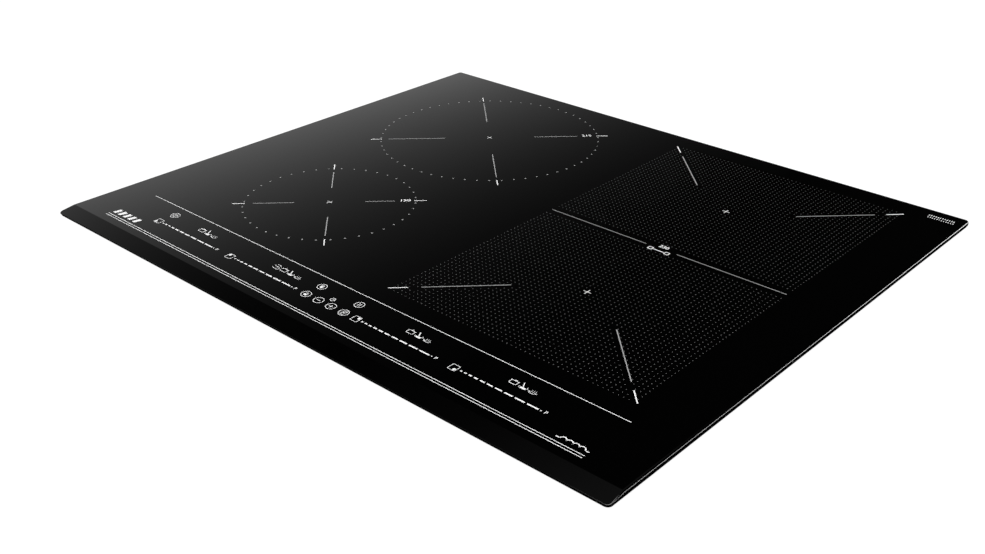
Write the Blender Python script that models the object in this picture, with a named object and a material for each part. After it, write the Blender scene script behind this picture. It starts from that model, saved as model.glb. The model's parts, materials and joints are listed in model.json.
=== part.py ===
"""Built-in induction cooktop, 60 cm class.

A black glass-ceramic top, bevelled along its front edge, rests through a foam seal on the
worktop.  Under it hangs a pressed steel casing with two fan-cooled power modules, two round
coils on the left, two rectangular coils on the right and the touch-control unit at the front.
Four swivelling clamps under the casing's side ledges hold the cooktop down.

Metres, +Z up, +X to the user's right, +Y towards the back.  The origin is under the middle
of the casing, at its underside.  Touching pieces keep a gap of 0.3 mm.
"""

import math

import bmesh
import bpy

MM = 0.001
GAP = 0.3 * MM
ARC_STEPS = 6
ROUND_SEGMENTS = 32
SCREW_SEGMENTS = 12
SMOOTH_ANGLE = math.radians(35.0)

# Glass top
GLASS_WIDTH = 600 * MM
GLASS_DEPTH = 510 * MM
GLASS_THICKNESS = 4 * MM
TOTAL_HEIGHT = 55 * MM
GLASS_CORNER_RADIUS = 5 * MM
GLASS_ARRIS = 0.9 * MM
GLASS_FRONT_ARRIS = 0.3 * MM
GLASS_BOTTOM_ARRIS = 0.4 * MM
BEVEL_DEPTH = 15 * MM
BEVEL_DROP = 2.8 * MM
GLASS_UNDERSIDE = TOTAL_HEIGHT - GLASS_THICKNESS
BEVEL_Y = -GLASS_DEPTH / 2 + BEVEL_DEPTH

# Seal between the glass and the worktop
SEAL_WIDTH = 7 * MM
SEAL_THICKNESS = 1 * MM
SEAL_SETBACK = 2 * MM
SEAL_CORNER_RADIUS = 9 * MM
SEAL_TOP = GLASS_UNDERSIDE - GAP
WORKTOP_LEVEL = SEAL_TOP - SEAL_THICKNESS

# Casing: wide above the ledge, narrower below it
CASING_WIDTH = 552 * MM
CASING_DEPTH = 482 * MM
CASING_TOP = GLASS_UNDERSIDE - 0.6 * MM
CASING_SHEET = 1 * MM
CASING_FOOT_WIDTH = 500 * MM
LEDGE_LEVEL = 12 * MM
INNER_X = CASING_WIDTH / 2 - CASING_SHEET
INNER_Y = CASING_DEPTH / 2 - CASING_SHEET
SCREW_HOLE_RADIUS = 2.4 * MM

# Aluminium frame glued under the glass
RAIL_LEG = 12 * MM
RAIL_SHEET = 2 * MM
RAIL_TOP = GLASS_UNDERSIDE - GAP
FRAME_SCREW_Y = 120 * MM
FRAME_SCREW_Z = 44.7 * MM

# Hold-down clamps
CLAMP_X = 263 * MM
CLAMP_Y = 150 * MM
CLAMP_WIDTH = 14 * MM
CLAMP_REACH = 29 * MM
CLAMP_LOW = 5 * MM
CLAMP_SHEET = 2 * MM
CLAMP_TIP_TOP = 11.4 * MM
CLAMP_BORE_RADIUS = 2.8 * MM

# Heights of the coil stack
CARRIER_LOW = 35.3 * MM
CARRIER_SHEET = 1.4 * MM
COIL_LOW = CARRIER_LOW + CARRIER_SHEET + GAP
FORMER_FLOOR_LOW = 41.1 * MM
FORMER_FLOOR_TOP = 45.1 * MM
FORMER_RIM_TOP = 49.4 * MM
FORMER_RIM = 3 * MM
WINDING_LOW = FORMER_FLOOR_TOP + GAP
WINDING_TOP = 49.7 * MM
MICA_LOW = 50.1 * MM
MICA_TOP = 50.6 * MM

# Coil zones: name, centre, half width, half depth, corner radius (equal halves: a round coil)
ROUND_BACK_RADIUS = 98 * MM
ROUND_FRONT_RADIUS = 70 * MM
FLEX_HALF_WIDTH = 108 * MM
FLEX_HALF_DEPTH = 91 * MM
FLEX_CORNER_RADIUS = 30 * MM
FLEX_X = 135.5 * MM
ZONES = (
    ("left_back", (-135.3 * MM, 124.0 * MM), ROUND_BACK_RADIUS, ROUND_BACK_RADIUS, ROUND_BACK_RADIUS),
    ("left_front", (-135.7 * MM, -86.3 * MM), ROUND_FRONT_RADIUS, ROUND_FRONT_RADIUS, ROUND_FRONT_RADIUS),
    ("right_back", (FLEX_X, 131.2 * MM), FLEX_HALF_WIDTH, FLEX_HALF_DEPTH, FLEX_CORNER_RADIUS),
    ("right_front", (FLEX_X, -63.8 * MM), FLEX_HALF_WIDTH, FLEX_HALF_DEPTH, FLEX_CORNER_RADIUS),
)
WINDING_SHARE = 0.78
SENSOR_HOLE = 10 * MM

# Coil carriers: folded sheets over the power modules
CARRIER_INNER_X = 12 * MM
CARRIER_OUTER_X = 258 * MM
CARRIER_FRONT_Y = -168 * MM
CARRIER_BACK_Y = 236 * MM

# Coil leads
LEAD_RADIUS = 1.5 * MM
LEAD_HOLE_RADIUS = 2.6 * MM
LEAD_RUN_HEIGHT = 25 * MM
LEAD_END_X = 126 * MM
LEAD_BACK_LIMIT_Y = 108 * MM
LEAD_POINTS = 34

# Electronics tray and boards
TRAY_LOW = CASING_SHEET + GAP
TRAY_SHEET = 2 * MM
TRAY_TOP = TRAY_LOW + TRAY_SHEET
TRAY_HALF_WIDTH = 247 * MM
TRAY_FRONT_Y = -158 * MM
TRAY_BACK_Y = 236 * MM
BOARD_LOW = 7 * MM
BOARD_THICKNESS = 1.6 * MM
BOARD_TOP = BOARD_LOW + BOARD_THICKNESS
BOARD_CORNER_RADIUS = 3 * MM
POST_RADIUS = 3 * MM
POST_INSET = 6 * MM
POWER_BOARD = (118 * MM, 244 * MM, -150 * MM, 130 * MM)
FILTER_BOARD = (22 * MM, 106 * MM, 62 * MM, 232 * MM)

# Power modules, one on each side
MODULE_X = 175 * MM
FAN_Y = 180 * MM
FAN_HALF = 46 * MM
FAN_LOW = TRAY_TOP + GAP
FAN_TOP = FAN_LOW + 30 * MM
FAN_WALL = 2 * MM
FAN_CAVITY_RADIUS = 40 * MM
FAN_INLET_RADIUS = 29 * MM
FAN_PIN_RADIUS = 2.5 * MM
FAN_BOSS_RADIUS = 13 * MM
FAN_BOSS_HEIGHT = 2.5 * MM
IMPELLER_RADIUS = 36 * MM
IMPELLER_BORE = 25 * MM
IMPELLER_PLATE = 2 * MM
IMPELLER_LOW = FAN_LOW + FAN_WALL + 2.5 * MM
IMPELLER_TOP = FAN_TOP - FAN_WALL - FAN_BOSS_HEIGHT - 0.7 * MM
IMPELLER_BLADES = 18
DUCT_HALF_WIDTH = 33 * MM
DUCT_WALL = 1.5 * MM
DUCT_FRONT_Y = -24 * MM
DUCT_TOP = FAN_TOP
SINK_HALF_WIDTH = 30 * MM
SINK_FRONT_Y = -18 * MM
SINK_BACK_Y = 126 * MM
SINK_BASE = 4 * MM
SINK_TOP = 31 * MM
SINK_FINS = 9
SINK_FIN = 1.8 * MM

# Mains inlet
INLET_X = 65 * MM
INLET_Z = 22 * MM
INLET_HOLE_RADIUS = 8 * MM
INLET_BORE_RADIUS = 5 * MM
TERMINAL_HALF_WIDTH = 26 * MM
TERMINAL_FRONT_Y = 192 * MM
TERMINAL_BACK_Y = 222 * MM
TERMINAL_TOP = 27 * MM
TERMINAL_WAYS = 5

# Touch-control unit
CONTROL_HALF_WIDTH = 232 * MM
CONTROL_FRONT_Y = -227.2 * MM
CONTROL_BACK_Y = -178 * MM
CONTROL_LOW = 38 * MM
CONTROL_WALL = 1.5 * MM
CONTROL_BOARD_LOW = 40 * MM
GUIDE_LOW = 45 * MM
GUIDE_TOP = 50.2 * MM
GUIDE_HALF_WIDTH = 222 * MM
GUIDE_FRONT_Y = -217 * MM
GUIDE_BACK_Y = -202 * MM
SLIDER_X = (-172.6 * MM, -73.2 * MM, 77.3 * MM, 176.0 * MM)
SLIDER_Y = -209.8 * MM
SLIDER_LENGTH = 74 * MM

# Ribbon cable from the filter board to the control board
RIBBON_X = 60 * MM
RIBBON_WIDTH = 18 * MM
RIBBON_THICKNESS = 1 * MM
RIBBON_BEND = 7 * MM
RIBBON_ROUTE = (
    (80 * MM, 9.7 * MM),
    (-173 * MM, 9.7 * MM),
    (-173 * MM, 42.7 * MM),
    (-190 * MM, 42.7 * MM),
)


# ---------------------------------------------------------------- scene, materials, objects

def clear_scene():
    for item in list(bpy.data.objects):
        bpy.data.objects.remove(item, do_unlink=True)


def finish_of(name, colour, roughness, metallic=0.0):
    """Return the named Principled material, making it on first use."""
    material = bpy.data.materials.get(name)
    if material is None:
        material = bpy.data.materials.new(name)
        material.use_nodes = True
        shader = material.node_tree.nodes["Principled BSDF"]
        shader.inputs["Base Color"].default_value = (*colour, 1.0)
        shader.inputs["Roughness"].default_value = roughness
        shader.inputs["Metallic"].default_value = metallic
        material.diffuse_color = (*colour, 1.0)
    return material


def black_glass():
    return finish_of("black_glass", (0.006, 0.006, 0.007), 0.06)


def foam():
    return finish_of("seal_foam", (0.05, 0.05, 0.05), 0.9)


def zinc_steel():
    return finish_of("zinc_steel", (0.55, 0.56, 0.57), 0.35, 1.0)


def aluminium():
    return finish_of("aluminium", (0.75, 0.76, 0.77), 0.38, 1.0)


def copper():
    return finish_of("lacquered_copper", (0.62, 0.27, 0.12), 0.35, 1.0)


def moulded(name, colour):
    return finish_of(name, colour, 0.5)


def white_plastic():
    return moulded("white_plastic", (0.75, 0.75, 0.73))


def black_plastic():
    return moulded("black_plastic", (0.02, 0.02, 0.02))


def circuit_board():
    return finish_of("circuit_board", (0.04, 0.22, 0.09), 0.45)


def mica():
    return finish_of("mica", (0.62, 0.55, 0.42), 0.4)


def sleeve():
    return finish_of("lead_sleeve", (0.7, 0.68, 0.62), 0.7)


def add_object(name, shape, material, location=(0.0, 0.0, 0.0), rotation=(0.0, 0.0, 0.0)):
    """Turn a bmesh into a named object with outward faces and smooth round sides."""
    bmesh.ops.recalc_face_normals(shape, faces=shape.faces)
    mesh = bpy.data.meshes.new(name)
    shape.to_mesh(mesh)
    shape.free()
    mesh.shade_smooth()
    mesh.set_sharp_from_angle(angle=SMOOTH_ANGLE)
    mesh.materials.append(material)
    item = bpy.data.objects.new(name, mesh)
    item.location = location
    item.rotation_euler = rotation
    bpy.context.scene.collection.objects.link(item)
    return item


def combine(item, tool_shape, operation):
    """Cut a helper shape from an object, or join it on; the helper shares the object's frame."""
    name = f"{item.name}_{operation.lower()}_tool"
    tool = add_object(name, tool_shape, item.data.materials[0], item.location, item.rotation_euler)
    tool.hide_render = True
    tool.display_type = "WIRE"
    modifier = item.modifiers.new(operation.title(), "BOOLEAN")
    modifier.operation = operation
    modifier.solver = "EXACT"
    modifier.object = tool


def cut(item, tool_shape):
    combine(item, tool_shape, "DIFFERENCE")


def join(item, tool_shape):
    combine(item, tool_shape, "UNION")


# ---------------------------------------------------------------- outlines and bodies

def circle(radius, segments, centre=(0.0, 0.0)):
    points = []
    for step in range(segments):
        angle = 2 * math.pi * step / segments
        points.append((centre[0] + radius * math.cos(angle), centre[1] + radius * math.sin(angle)))
    return points


def rounded_rectangle(half_width, half_depth, radius, centre=(0.0, 0.0), steps=ARC_STEPS):
    """Counter-clockwise outline that starts in the right-back corner."""
    points = []
    corners = ((1, 1), (-1, 1), (-1, -1), (1, -1))
    for quarter, (side_x, side_y) in enumerate(corners):
        middle_x = centre[0] + side_x * (half_width - radius)
        middle_y = centre[1] + side_y * (half_depth - radius)
        for step in range(steps + 1):
            angle = math.pi / 2 * (quarter + step / steps)
            points.append((middle_x + radius * math.cos(angle), middle_y + radius * math.sin(angle)))
    return points


def rectangle(low_x, high_x, low_y, high_y):
    return [(low_x, low_y), (high_x, low_y), (high_x, high_y), (low_x, high_y)]


def place(point, height, axis):
    """Put an outline point (u, v) at a height along the extrusion axis."""
    if axis == "X":
        return (height, point[0], point[1])
    if axis == "Y":
        return (point[0], height, point[1])
    return (point[0], point[1], height)


def prism(shape, outline, low, high, axis="Z"):
    """Extrude a closed outline between two heights along an axis."""
    bottom = [shape.verts.new(place(point, low, axis)) for point in outline]
    top = [shape.verts.new(place(point, high, axis)) for point in outline]
    shape.faces.new(reversed(bottom))
    shape.faces.new(top)
    for index, vertex in enumerate(bottom):
        following = (index + 1) % len(bottom)
        shape.faces.new((vertex, bottom[following], top[following], top[index]))


def block(shape, low_x, high_x, low_y, high_y, low_z, high_z):
    prism(shape, rectangle(low_x, high_x, low_y, high_y), low_z, high_z)


def bridge(shape, lower, upper):
    """Join two rings of vertices; a ring of one vertex is a point on the axis."""
    count = max(len(lower), len(upper))
    for index in range(count):
        following = index + 1
        corners = (
            lower[index % len(lower)],
            lower[following % len(lower)],
            upper[following % len(upper)],
            upper[index % len(upper)],
        )
        shape.faces.new(tuple(dict.fromkeys(corners)))


def ring_body(shape, outline_at, profile):
    """Close a ring: outline_at(offset) gives equal-length outlines, profile holds (offset, z)."""
    rings = []
    for offset, height in profile:
        rings.append([shape.verts.new((x, y, height)) for x, y in outline_at(offset)])
    for index, ring in enumerate(rings):
        bridge(shape, ring, rings[(index + 1) % len(rings)])


def turned(shape, profile, segments):
    """Turn an (r, z) profile that starts and ends on the axis."""
    rings = []
    for radius, height in profile:
        outline = circle(radius, segments) if radius > 0 else [(0.0, 0.0)]
        rings.append([shape.verts.new((x, y, height)) for x, y in outline])
    for lower, upper in zip(rings, rings[1:]):
        bridge(shape, lower, upper)


# ---------------------------------------------------------------- glass and seal

def glass_outline(inset):
    """Plate outline, with a point on each side where the front bevel starts."""
    half_width = GLASS_WIDTH / 2 - inset
    points = rounded_rectangle(half_width, GLASS_DEPTH / 2 - inset, GLASS_CORNER_RADIUS - inset)
    corner_points = ARC_STEPS + 1
    points.insert(2 * corner_points, (-half_width, BEVEL_Y))
    points.append((half_width, BEVEL_Y))
    return points


def bevel_share(y):
    """0 behind the bevel's arris, 1 at the front edge."""
    return max(0.0, min(1.0, (BEVEL_Y - y) / BEVEL_DEPTH))


def glass_surface(y):
    return TOTAL_HEIGHT - BEVEL_DROP * bevel_share(y)


def glass_plate():
    shape = bmesh.new()
    edge = glass_outline(0.0)
    arrises = [GLASS_ARRIS + (GLASS_FRONT_ARRIS - GLASS_ARRIS) * bevel_share(y) for _, y in edge]
    base = glass_outline(GLASS_BOTTOM_ARRIS)
    top = [glass_outline(arris)[index] for index, arris in enumerate(arrises)]
    rings = [
        [(x, y, GLASS_UNDERSIDE) for x, y in base],
        [(x, y, GLASS_UNDERSIDE + GLASS_BOTTOM_ARRIS) for x, y in edge],
        [(x, y, glass_surface(y) - arris) for (x, y), arris in zip(edge, arrises)],
        [(x, y, glass_surface(y)) for x, y in top],
    ]
    loops = [[shape.verts.new(point) for point in ring] for ring in rings]
    for lower, upper in zip(loops, loops[1:]):
        bridge(shape, lower, upper)
    shape.faces.new(reversed(loops[0]))
    left_break = 2 * (ARC_STEPS + 1)
    right_break = len(edge) - 1
    shape.faces.new(loops[-1][:left_break + 1] + [loops[-1][right_break]])
    shape.faces.new(loops[-1][left_break:])
    return add_object("glass_plate", shape, black_glass())


def worktop_seal():
    shape = bmesh.new()
    half_width = GLASS_WIDTH / 2 - SEAL_SETBACK
    half_depth = GLASS_DEPTH / 2 - SEAL_SETBACK

    def outline(offset):
        return rounded_rectangle(half_width + offset, half_depth + offset, SEAL_CORNER_RADIUS + offset)

    profile = ((0.0, WORKTOP_LEVEL), (0.0, SEAL_TOP), (-SEAL_WIDTH, SEAL_TOP), (-SEAL_WIDTH, WORKTOP_LEVEL))
    ring_body(shape, outline, profile)
    return add_object("worktop_seal", shape, foam())


# ---------------------------------------------------------------- casing and frame

def casing_profile(sheet, top):
    """Stepped cross-section, drawn in by the sheet's thickness."""
    half = CASING_WIDTH / 2 - sheet
    foot = CASING_FOOT_WIDTH / 2 - sheet
    ledge = LEDGE_LEVEL + sheet
    return [(-foot, sheet), (foot, sheet), (foot, ledge), (half, ledge),
            (half, top), (-half, top), (-half, ledge), (-foot, ledge)]


def add_intake_slots(shape, side):
    slot = 4 * MM
    pitch = 7 * MM
    reach = FAN_INLET_RADIUS - 1 * MM
    for row in range(-3, 4):
        y = FAN_Y + row * pitch
        half_length = math.sqrt(reach ** 2 - (row * pitch) ** 2)
        x = side * MODULE_X
        block(shape, x - half_length, x + half_length, y - slot / 2, y + slot / 2, -1 * MM, 2 * MM)


def add_exhaust_slots(shape, side):
    slot = 5 * MM
    pitch = 10 * MM
    for column in range(12):
        x = side * (120 * MM + column * pitch)
        front = -CASING_DEPTH / 2
        block(shape, x - slot / 2, x + slot / 2, front - 1 * MM, front + 2 * MM, 12 * MM, 30 * MM)


def casing_tray():
    shape = bmesh.new()
    prism(shape, casing_profile(0.0, CASING_TOP), -CASING_DEPTH / 2, CASING_DEPTH / 2, "Y")
    tray = add_object("casing_tray", shape, zinc_steel())
    openings = bmesh.new()
    prism(openings, casing_profile(CASING_SHEET, CASING_TOP + 5 * MM), -INNER_Y, INNER_Y, "Y")
    cut(tray, openings)
    holes = bmesh.new()
    for side in (-1, 1):
        add_intake_slots(holes, side)
        add_exhaust_slots(holes, side)
        for end in (-1, 1):
            clamp_hole = circle(SCREW_HOLE_RADIUS, SCREW_SEGMENTS, (side * CLAMP_X, end * CLAMP_Y))
            prism(holes, clamp_hole, LEDGE_LEVEL - 1 * MM, LEDGE_LEVEL + 2 * MM)
            frame_hole = circle(SCREW_HOLE_RADIUS, SCREW_SEGMENTS, (end * FRAME_SCREW_Y, FRAME_SCREW_Z))
            wall = side * CASING_WIDTH / 2
            prism(holes, frame_hole, wall - 2 * MM, wall + 2 * MM, "X")
    inlet = circle(INLET_HOLE_RADIUS + GAP, ROUND_SEGMENTS // 2, (INLET_X, INLET_Z))
    prism(holes, inlet, INNER_Y - 1 * MM, INNER_Y + 2 * MM, "Y")
    cut(tray, holes)
    return tray


def angle_profile(wall, inward):
    """L section: a leg along the casing wall and a flange under the glass."""
    low = RAIL_TOP - RAIL_LEG
    flange = RAIL_TOP - RAIL_SHEET
    return [(wall, low), (wall + inward * RAIL_SHEET, low), (wall + inward * RAIL_SHEET, flange),
            (wall + inward * RAIL_LEG, flange), (wall + inward * RAIL_LEG, RAIL_TOP), (wall, RAIL_TOP)]


def frame_rails():
    wall_x = INNER_X - GAP
    wall_y = INNER_Y - GAP
    side_length = wall_y - RAIL_LEG - GAP
    for name, side in (("left", -1), ("right", 1)):
        shape = bmesh.new()
        prism(shape, angle_profile(side * wall_x, -side), -side_length, side_length, "Y")
        rail = add_object(f"frame_rail_{name}", shape, aluminium())
        holes = bmesh.new()
        for end in (-1, 1):
            outline = circle(SCREW_HOLE_RADIUS, SCREW_SEGMENTS, (end * FRAME_SCREW_Y, FRAME_SCREW_Z))
            leg = side * wall_x
            prism(holes, outline, leg - 4 * MM, leg + 4 * MM, "X")
        cut(rail, holes)
    for name, side in (("front", -1), ("back", 1)):
        shape = bmesh.new()
        prism(shape, angle_profile(side * wall_y, -side), -wall_x, wall_x, "X")
        add_object(f"frame_rail_{name}", shape, aluminium())


def frame_screws():
    head_radius = 4 * MM
    head_height = 2.4 * MM
    shank_radius = 2 * MM
    shank_length = 8 * MM
    profile = ((0.0, head_height), (head_radius - 1 * MM, head_height), (head_radius, 1 * MM),
               (head_radius, 0.0), (shank_radius, 0.0), (shank_radius, -shank_length), (0.0, -shank_length))
    for side_name, side in (("left", -1), ("right", 1)):
        for end_name, end in (("front", -1), ("back", 1)):
            shape = bmesh.new()
            turned(shape, profile, SCREW_SEGMENTS)
            location = (side * (CASING_WIDTH / 2 + GAP), end * FRAME_SCREW_Y, FRAME_SCREW_Z)
            rotation = (0.0, side * math.pi / 2, 0.0)
            add_object(f"frame_screw_{side_name}_{end_name}", shape, zinc_steel(), location, rotation)


# ---------------------------------------------------------------- hold-down clamps

def clamp_shape(end):
    """A flat arm with a rounded pivot end and its tip folded up, pointing to the middle."""
    shape = bmesh.new()
    half = CLAMP_WIDTH / 2
    outline = [(half, -end * CLAMP_REACH), (half, 0.0)]
    for step in range(1, ARC_STEPS):
        angle = math.pi * step / ARC_STEPS
        outline.append((half * math.cos(angle), end * half * math.sin(angle)))
    outline += [(-half, 0.0), (-half, -end * CLAMP_REACH)]
    prism(shape, outline, CLAMP_LOW, CLAMP_LOW + CLAMP_SHEET)
    return shape


def hold_down_clamps():
    for side_name, side in (("left", -1), ("right", 1)):
        for end_name, end in (("front", -1), ("back", 1)):
            pivot = (side * CLAMP_X, end * CLAMP_Y, 0.0)
            name = f"hold_down_clamp_{side_name}_{end_name}"
            clamp = add_object(name, clamp_shape(end), zinc_steel(), pivot)
            tip = bmesh.new()
            tip_y = sorted((-end * CLAMP_REACH, -end * (CLAMP_REACH - CLAMP_SHEET)))
            block(tip, -CLAMP_WIDTH / 2, CLAMP_WIDTH / 2, tip_y[0], tip_y[1], CLAMP_LOW, CLAMP_TIP_TOP)
            join(clamp, tip)
            bore = bmesh.new()
            prism(bore, circle(CLAMP_BORE_RADIUS, SCREW_SEGMENTS), CLAMP_LOW - 1 * MM, CLAMP_LOW + 3 * MM)
            cut(clamp, bore)


def clamp_screws():
    """Shoulder screws: the clamp turns between the head and the shoulder."""
    head_low = 1.6 * MM
    head_radius = 5 * MM
    neck_radius = 2.4 * MM
    shoulder_radius = 4.5 * MM
    thread_radius = 2 * MM
    shoulder_low = CLAMP_LOW + CLAMP_SHEET + GAP
    shoulder_top = LEDGE_LEVEL - GAP
    profile = ((0.0, head_low), (head_radius, head_low), (head_radius, CLAMP_LOW - GAP),
               (neck_radius, CLAMP_LOW - GAP), (neck_radius, shoulder_low), (shoulder_radius, shoulder_low),
               (shoulder_radius, shoulder_top), (thread_radius, shoulder_top),
               (thread_radius, LEDGE_LEVEL + 4 * MM), (0.0, LEDGE_LEVEL + 4 * MM))
    for side_name, side in (("left", -1), ("right", 1)):
        for end_name, end in (("front", -1), ("back", 1)):
            shape = bmesh.new()
            turned(shape, profile, SCREW_SEGMENTS)
            pivot = (side * CLAMP_X, end * CLAMP_Y, 0.0)
            add_object(f"clamp_screw_{side_name}_{end_name}", shape, zinc_steel(), pivot)


# ---------------------------------------------------------------- coils

def zone_outline(centre, half_width, half_depth, radius):
    """Outline function of a coil: a circle, or a rectangle with round corners."""
    smallest = 3 * MM

    def outline(offset):
        across = max(half_width + offset, smallest)
        along = max(half_depth + offset, smallest)
        corner = min(max(radius + offset, smallest), across, along)
        return rounded_rectangle(across, along, corner, centre, steps=8)

    return outline


def coil_former(name, outline, hole, lead_notch):
    """Plastic dish that holds the winding, with a foot rim that stands on the carrier."""
    shape = bmesh.new()
    inside = 1 * MM
    profile = ((-hole, FORMER_FLOOR_LOW), (inside, FORMER_FLOOR_LOW), (inside, COIL_LOW),
               (inside + FORMER_RIM, COIL_LOW), (inside + FORMER_RIM, FORMER_RIM_TOP),
               (inside, FORMER_RIM_TOP), (inside, FORMER_FLOOR_TOP), (-hole, FORMER_FLOOR_TOP))
    ring_body(shape, outline, profile)
    former = add_object(f"coil_former_{name}", shape, white_plastic())
    cut(former, lead_notch)


def coil_winding(name, outline, band):
    shape = bmesh.new()
    profile = ((0.0, WINDING_LOW), (0.0, WINDING_TOP), (-band, WINDING_TOP), (-band, WINDING_LOW))
    ring_body(shape, outline, profile)
    add_object(f"coil_winding_{name}", shape, copper())


def mica_sheet(name, outline, hole):
    shape = bmesh.new()
    edge = 2 * MM
    profile = ((edge, MICA_LOW), (edge, MICA_TOP), (-hole, MICA_TOP), (-hole, MICA_LOW))
    ring_body(shape, outline, profile)
    add_object(f"mica_sheet_{name}", shape, mica())


def temperature_sensor(name, centre):
    """Sprung post on the carrier that carries the bead against the mica."""
    shape = bmesh.new()
    foot_radius = 7 * MM
    post_radius = 3.5 * MM
    head_radius = 5 * MM
    foot_top = COIL_LOW + 2 * MM
    profile = ((0.0, COIL_LOW), (foot_radius, COIL_LOW), (foot_radius, foot_top),
               (post_radius, foot_top), (post_radius, WINDING_LOW), (head_radius, WINDING_LOW + 1 * MM),
               (head_radius, WINDING_TOP - 1 * MM), (head_radius - 2 * MM, WINDING_TOP), (0.0, WINDING_TOP))
    turned(shape, profile, 16)
    add_object(f"temperature_sensor_{name}", shape, white_plastic(), (centre[0], centre[1], 0.0))


def inner_edge(centre, half_width):
    """X of the former's outer face on the side that looks to the middle of the cooktop."""
    side = -1 if centre[0] < 0 else 1
    return centre[0] - side * (half_width + 1 * MM + FORMER_RIM)


def lead_drop_x(centre, half_width):
    """X of the hole in the carrier through which the coil's lead goes down."""
    side = -1 if centre[0] < 0 else 1
    return inner_edge(centre, half_width) - side * 4.6 * MM


def notch_shape(centre, half_width):
    """Slot through the former's rim for the lead."""
    shape = bmesh.new()
    side = -1 if centre[0] < 0 else 1
    near = inner_edge(centre, half_width) - side * 1 * MM
    far = near + side * 6 * MM
    half_slot = 2.4 * MM
    low_x, high_x = sorted((near, far))
    block(shape, low_x, high_x, centre[1] - half_slot, centre[1] + half_slot,
          FORMER_FLOOR_TOP - 0.8 * MM, FORMER_RIM_TOP + 1 * MM)
    return shape


def smooth_route(corners, count):
    """Even points along a Catmull-Rom curve through the route's corners."""
    spans = len(corners) - 1
    padded = [corners[0]] + list(corners) + [corners[-1]]
    points = []
    for index in range(count):
        position = spans * index / (count - 1)
        span = min(int(position), spans - 1)
        share = position - span
        before, start, end, after = padded[span:span + 4]
        point = []
        for b, s, e, a in zip(before, start, end, after):
            value = 2 * s + (e - b) * share + (2 * b - 5 * s + 4 * e - a) * share ** 2
            value += (3 * s - b - 3 * e + a) * share ** 3
            point.append(value / 2)
        points.append(tuple(point))
    return points


def lead_route(centre, half_width):
    """Out through the notch, down through the carrier, back under it and onto the power board."""
    side = -1 if centre[0] < 0 else 1
    drop_x = lead_drop_x(centre, half_width)
    start_x = centre[0] - side * (half_width + 0.6 * MM)
    end_x = side * LEAD_END_X
    end_y = min(centre[1], LEAD_BACK_LIMIT_Y)
    height = WINDING_LOW + 2 * MM
    run = LEAD_RUN_HEIGHT
    return (
        (start_x, centre[1], height),
        (start_x - side * 4 * MM, centre[1], height - 0.4 * MM),
        (drop_x, centre[1], height - 6 * MM),
        (drop_x, centre[1], CARRIER_LOW),
        (drop_x + side * 2 * MM, centre[1], run + 3 * MM),
        (drop_x + side * 12 * MM, centre[1], run - 2 * MM),
        ((drop_x + end_x) / 2, (centre[1] + end_y) / 2, run - 4 * MM),
        (end_x - side * 8 * MM, end_y, run - 3 * MM),
        (end_x - side * 1 * MM, end_y, run - 9 * MM),
        (end_x, end_y, BOARD_TOP + GAP),
    )


def coil_lead(name, centre, half_width):
    curve = bpy.data.curves.new(f"coil_lead_{name}", "CURVE")
    curve.dimensions = "3D"
    curve.bevel_depth = LEAD_RADIUS
    curve.bevel_resolution = 2
    curve.use_fill_caps = True
    points = smooth_route(lead_route(centre, half_width), LEAD_POINTS)
    spline = curve.splines.new("POLY")
    spline.points.add(len(points) - 1)
    for target, point in zip(spline.points, points):
        target.co = (*point, 1.0)
    curve.materials.append(sleeve())
    item = bpy.data.objects.new(f"coil_lead_{name}", curve)
    bpy.context.scene.collection.objects.link(item)


def coils():
    for name, centre, half_width, half_depth, radius in ZONES:
        outline = zone_outline(centre, half_width, half_depth, radius)
        smaller_half = min(half_width, half_depth)
        hole = smaller_half - SENSOR_HOLE
        coil_former(name, outline, hole, notch_shape(centre, half_width))
        coil_winding(name, outline, smaller_half * WINDING_SHARE)
        mica_sheet(name, outline, hole)
        temperature_sensor(name, centre)
        coil_lead(name, centre, half_width)


def coil_carriers():
    """Folded sheets: the outer leg stands on the casing's ledge, the inner one on the tray."""
    top = CARRIER_LOW + CARRIER_SHEET
    ledge_foot = LEDGE_LEVEL + CASING_SHEET + GAP
    tray_foot = TRAY_TOP + GAP
    for name, side in (("left", -1), ("right", 1)):
        inner = side * CARRIER_INNER_X
        outer = side * CARRIER_OUTER_X
        fold = side * CARRIER_SHEET
        profile = [(inner, tray_foot), (inner + fold, tray_foot), (inner + fold, CARRIER_LOW),
                   (outer - fold, CARRIER_LOW), (outer - fold, ledge_foot), (outer, ledge_foot),
                   (outer, top), (inner, top)]
        shape = bmesh.new()
        prism(shape, profile, CARRIER_FRONT_Y, CARRIER_BACK_Y, "Y")
        carrier = add_object(f"coil_carrier_{name}", shape, aluminium())
        holes = bmesh.new()
        for _, centre, half_width, _, _ in ZONES:
            if centre[0] * side > 0:
                spot = (lead_drop_x(centre, half_width), centre[1])
                hole = circle(LEAD_HOLE_RADIUS, SCREW_SEGMENTS, spot)
                prism(holes, hole, CARRIER_LOW - 1 * MM, top + 1 * MM)
        cut(carrier, holes)


# ---------------------------------------------------------------- electronics

def board_outline(bounds):
    low_x, high_x, low_y, high_y = bounds
    centre = ((low_x + high_x) / 2, (low_y + high_y) / 2)
    half_width = (high_x - low_x) / 2
    half_depth = (high_y - low_y) / 2
    return rounded_rectangle(half_width, half_depth, BOARD_CORNER_RADIUS, centre, steps=2)


def mirrored(bounds, side):
    low_x, high_x, low_y, high_y = bounds
    return (*sorted((side * low_x, side * high_x)), low_y, high_y)


def board_post_spots():
    spots = []
    for bounds in (mirrored(POWER_BOARD, -1), POWER_BOARD, FILTER_BOARD):
        low_x, high_x, low_y, high_y = bounds
        for x in (low_x + POST_INSET, high_x - POST_INSET):
            for y in (low_y + POST_INSET, high_y - POST_INSET):
                spots.append((x, y))
    return spots


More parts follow.
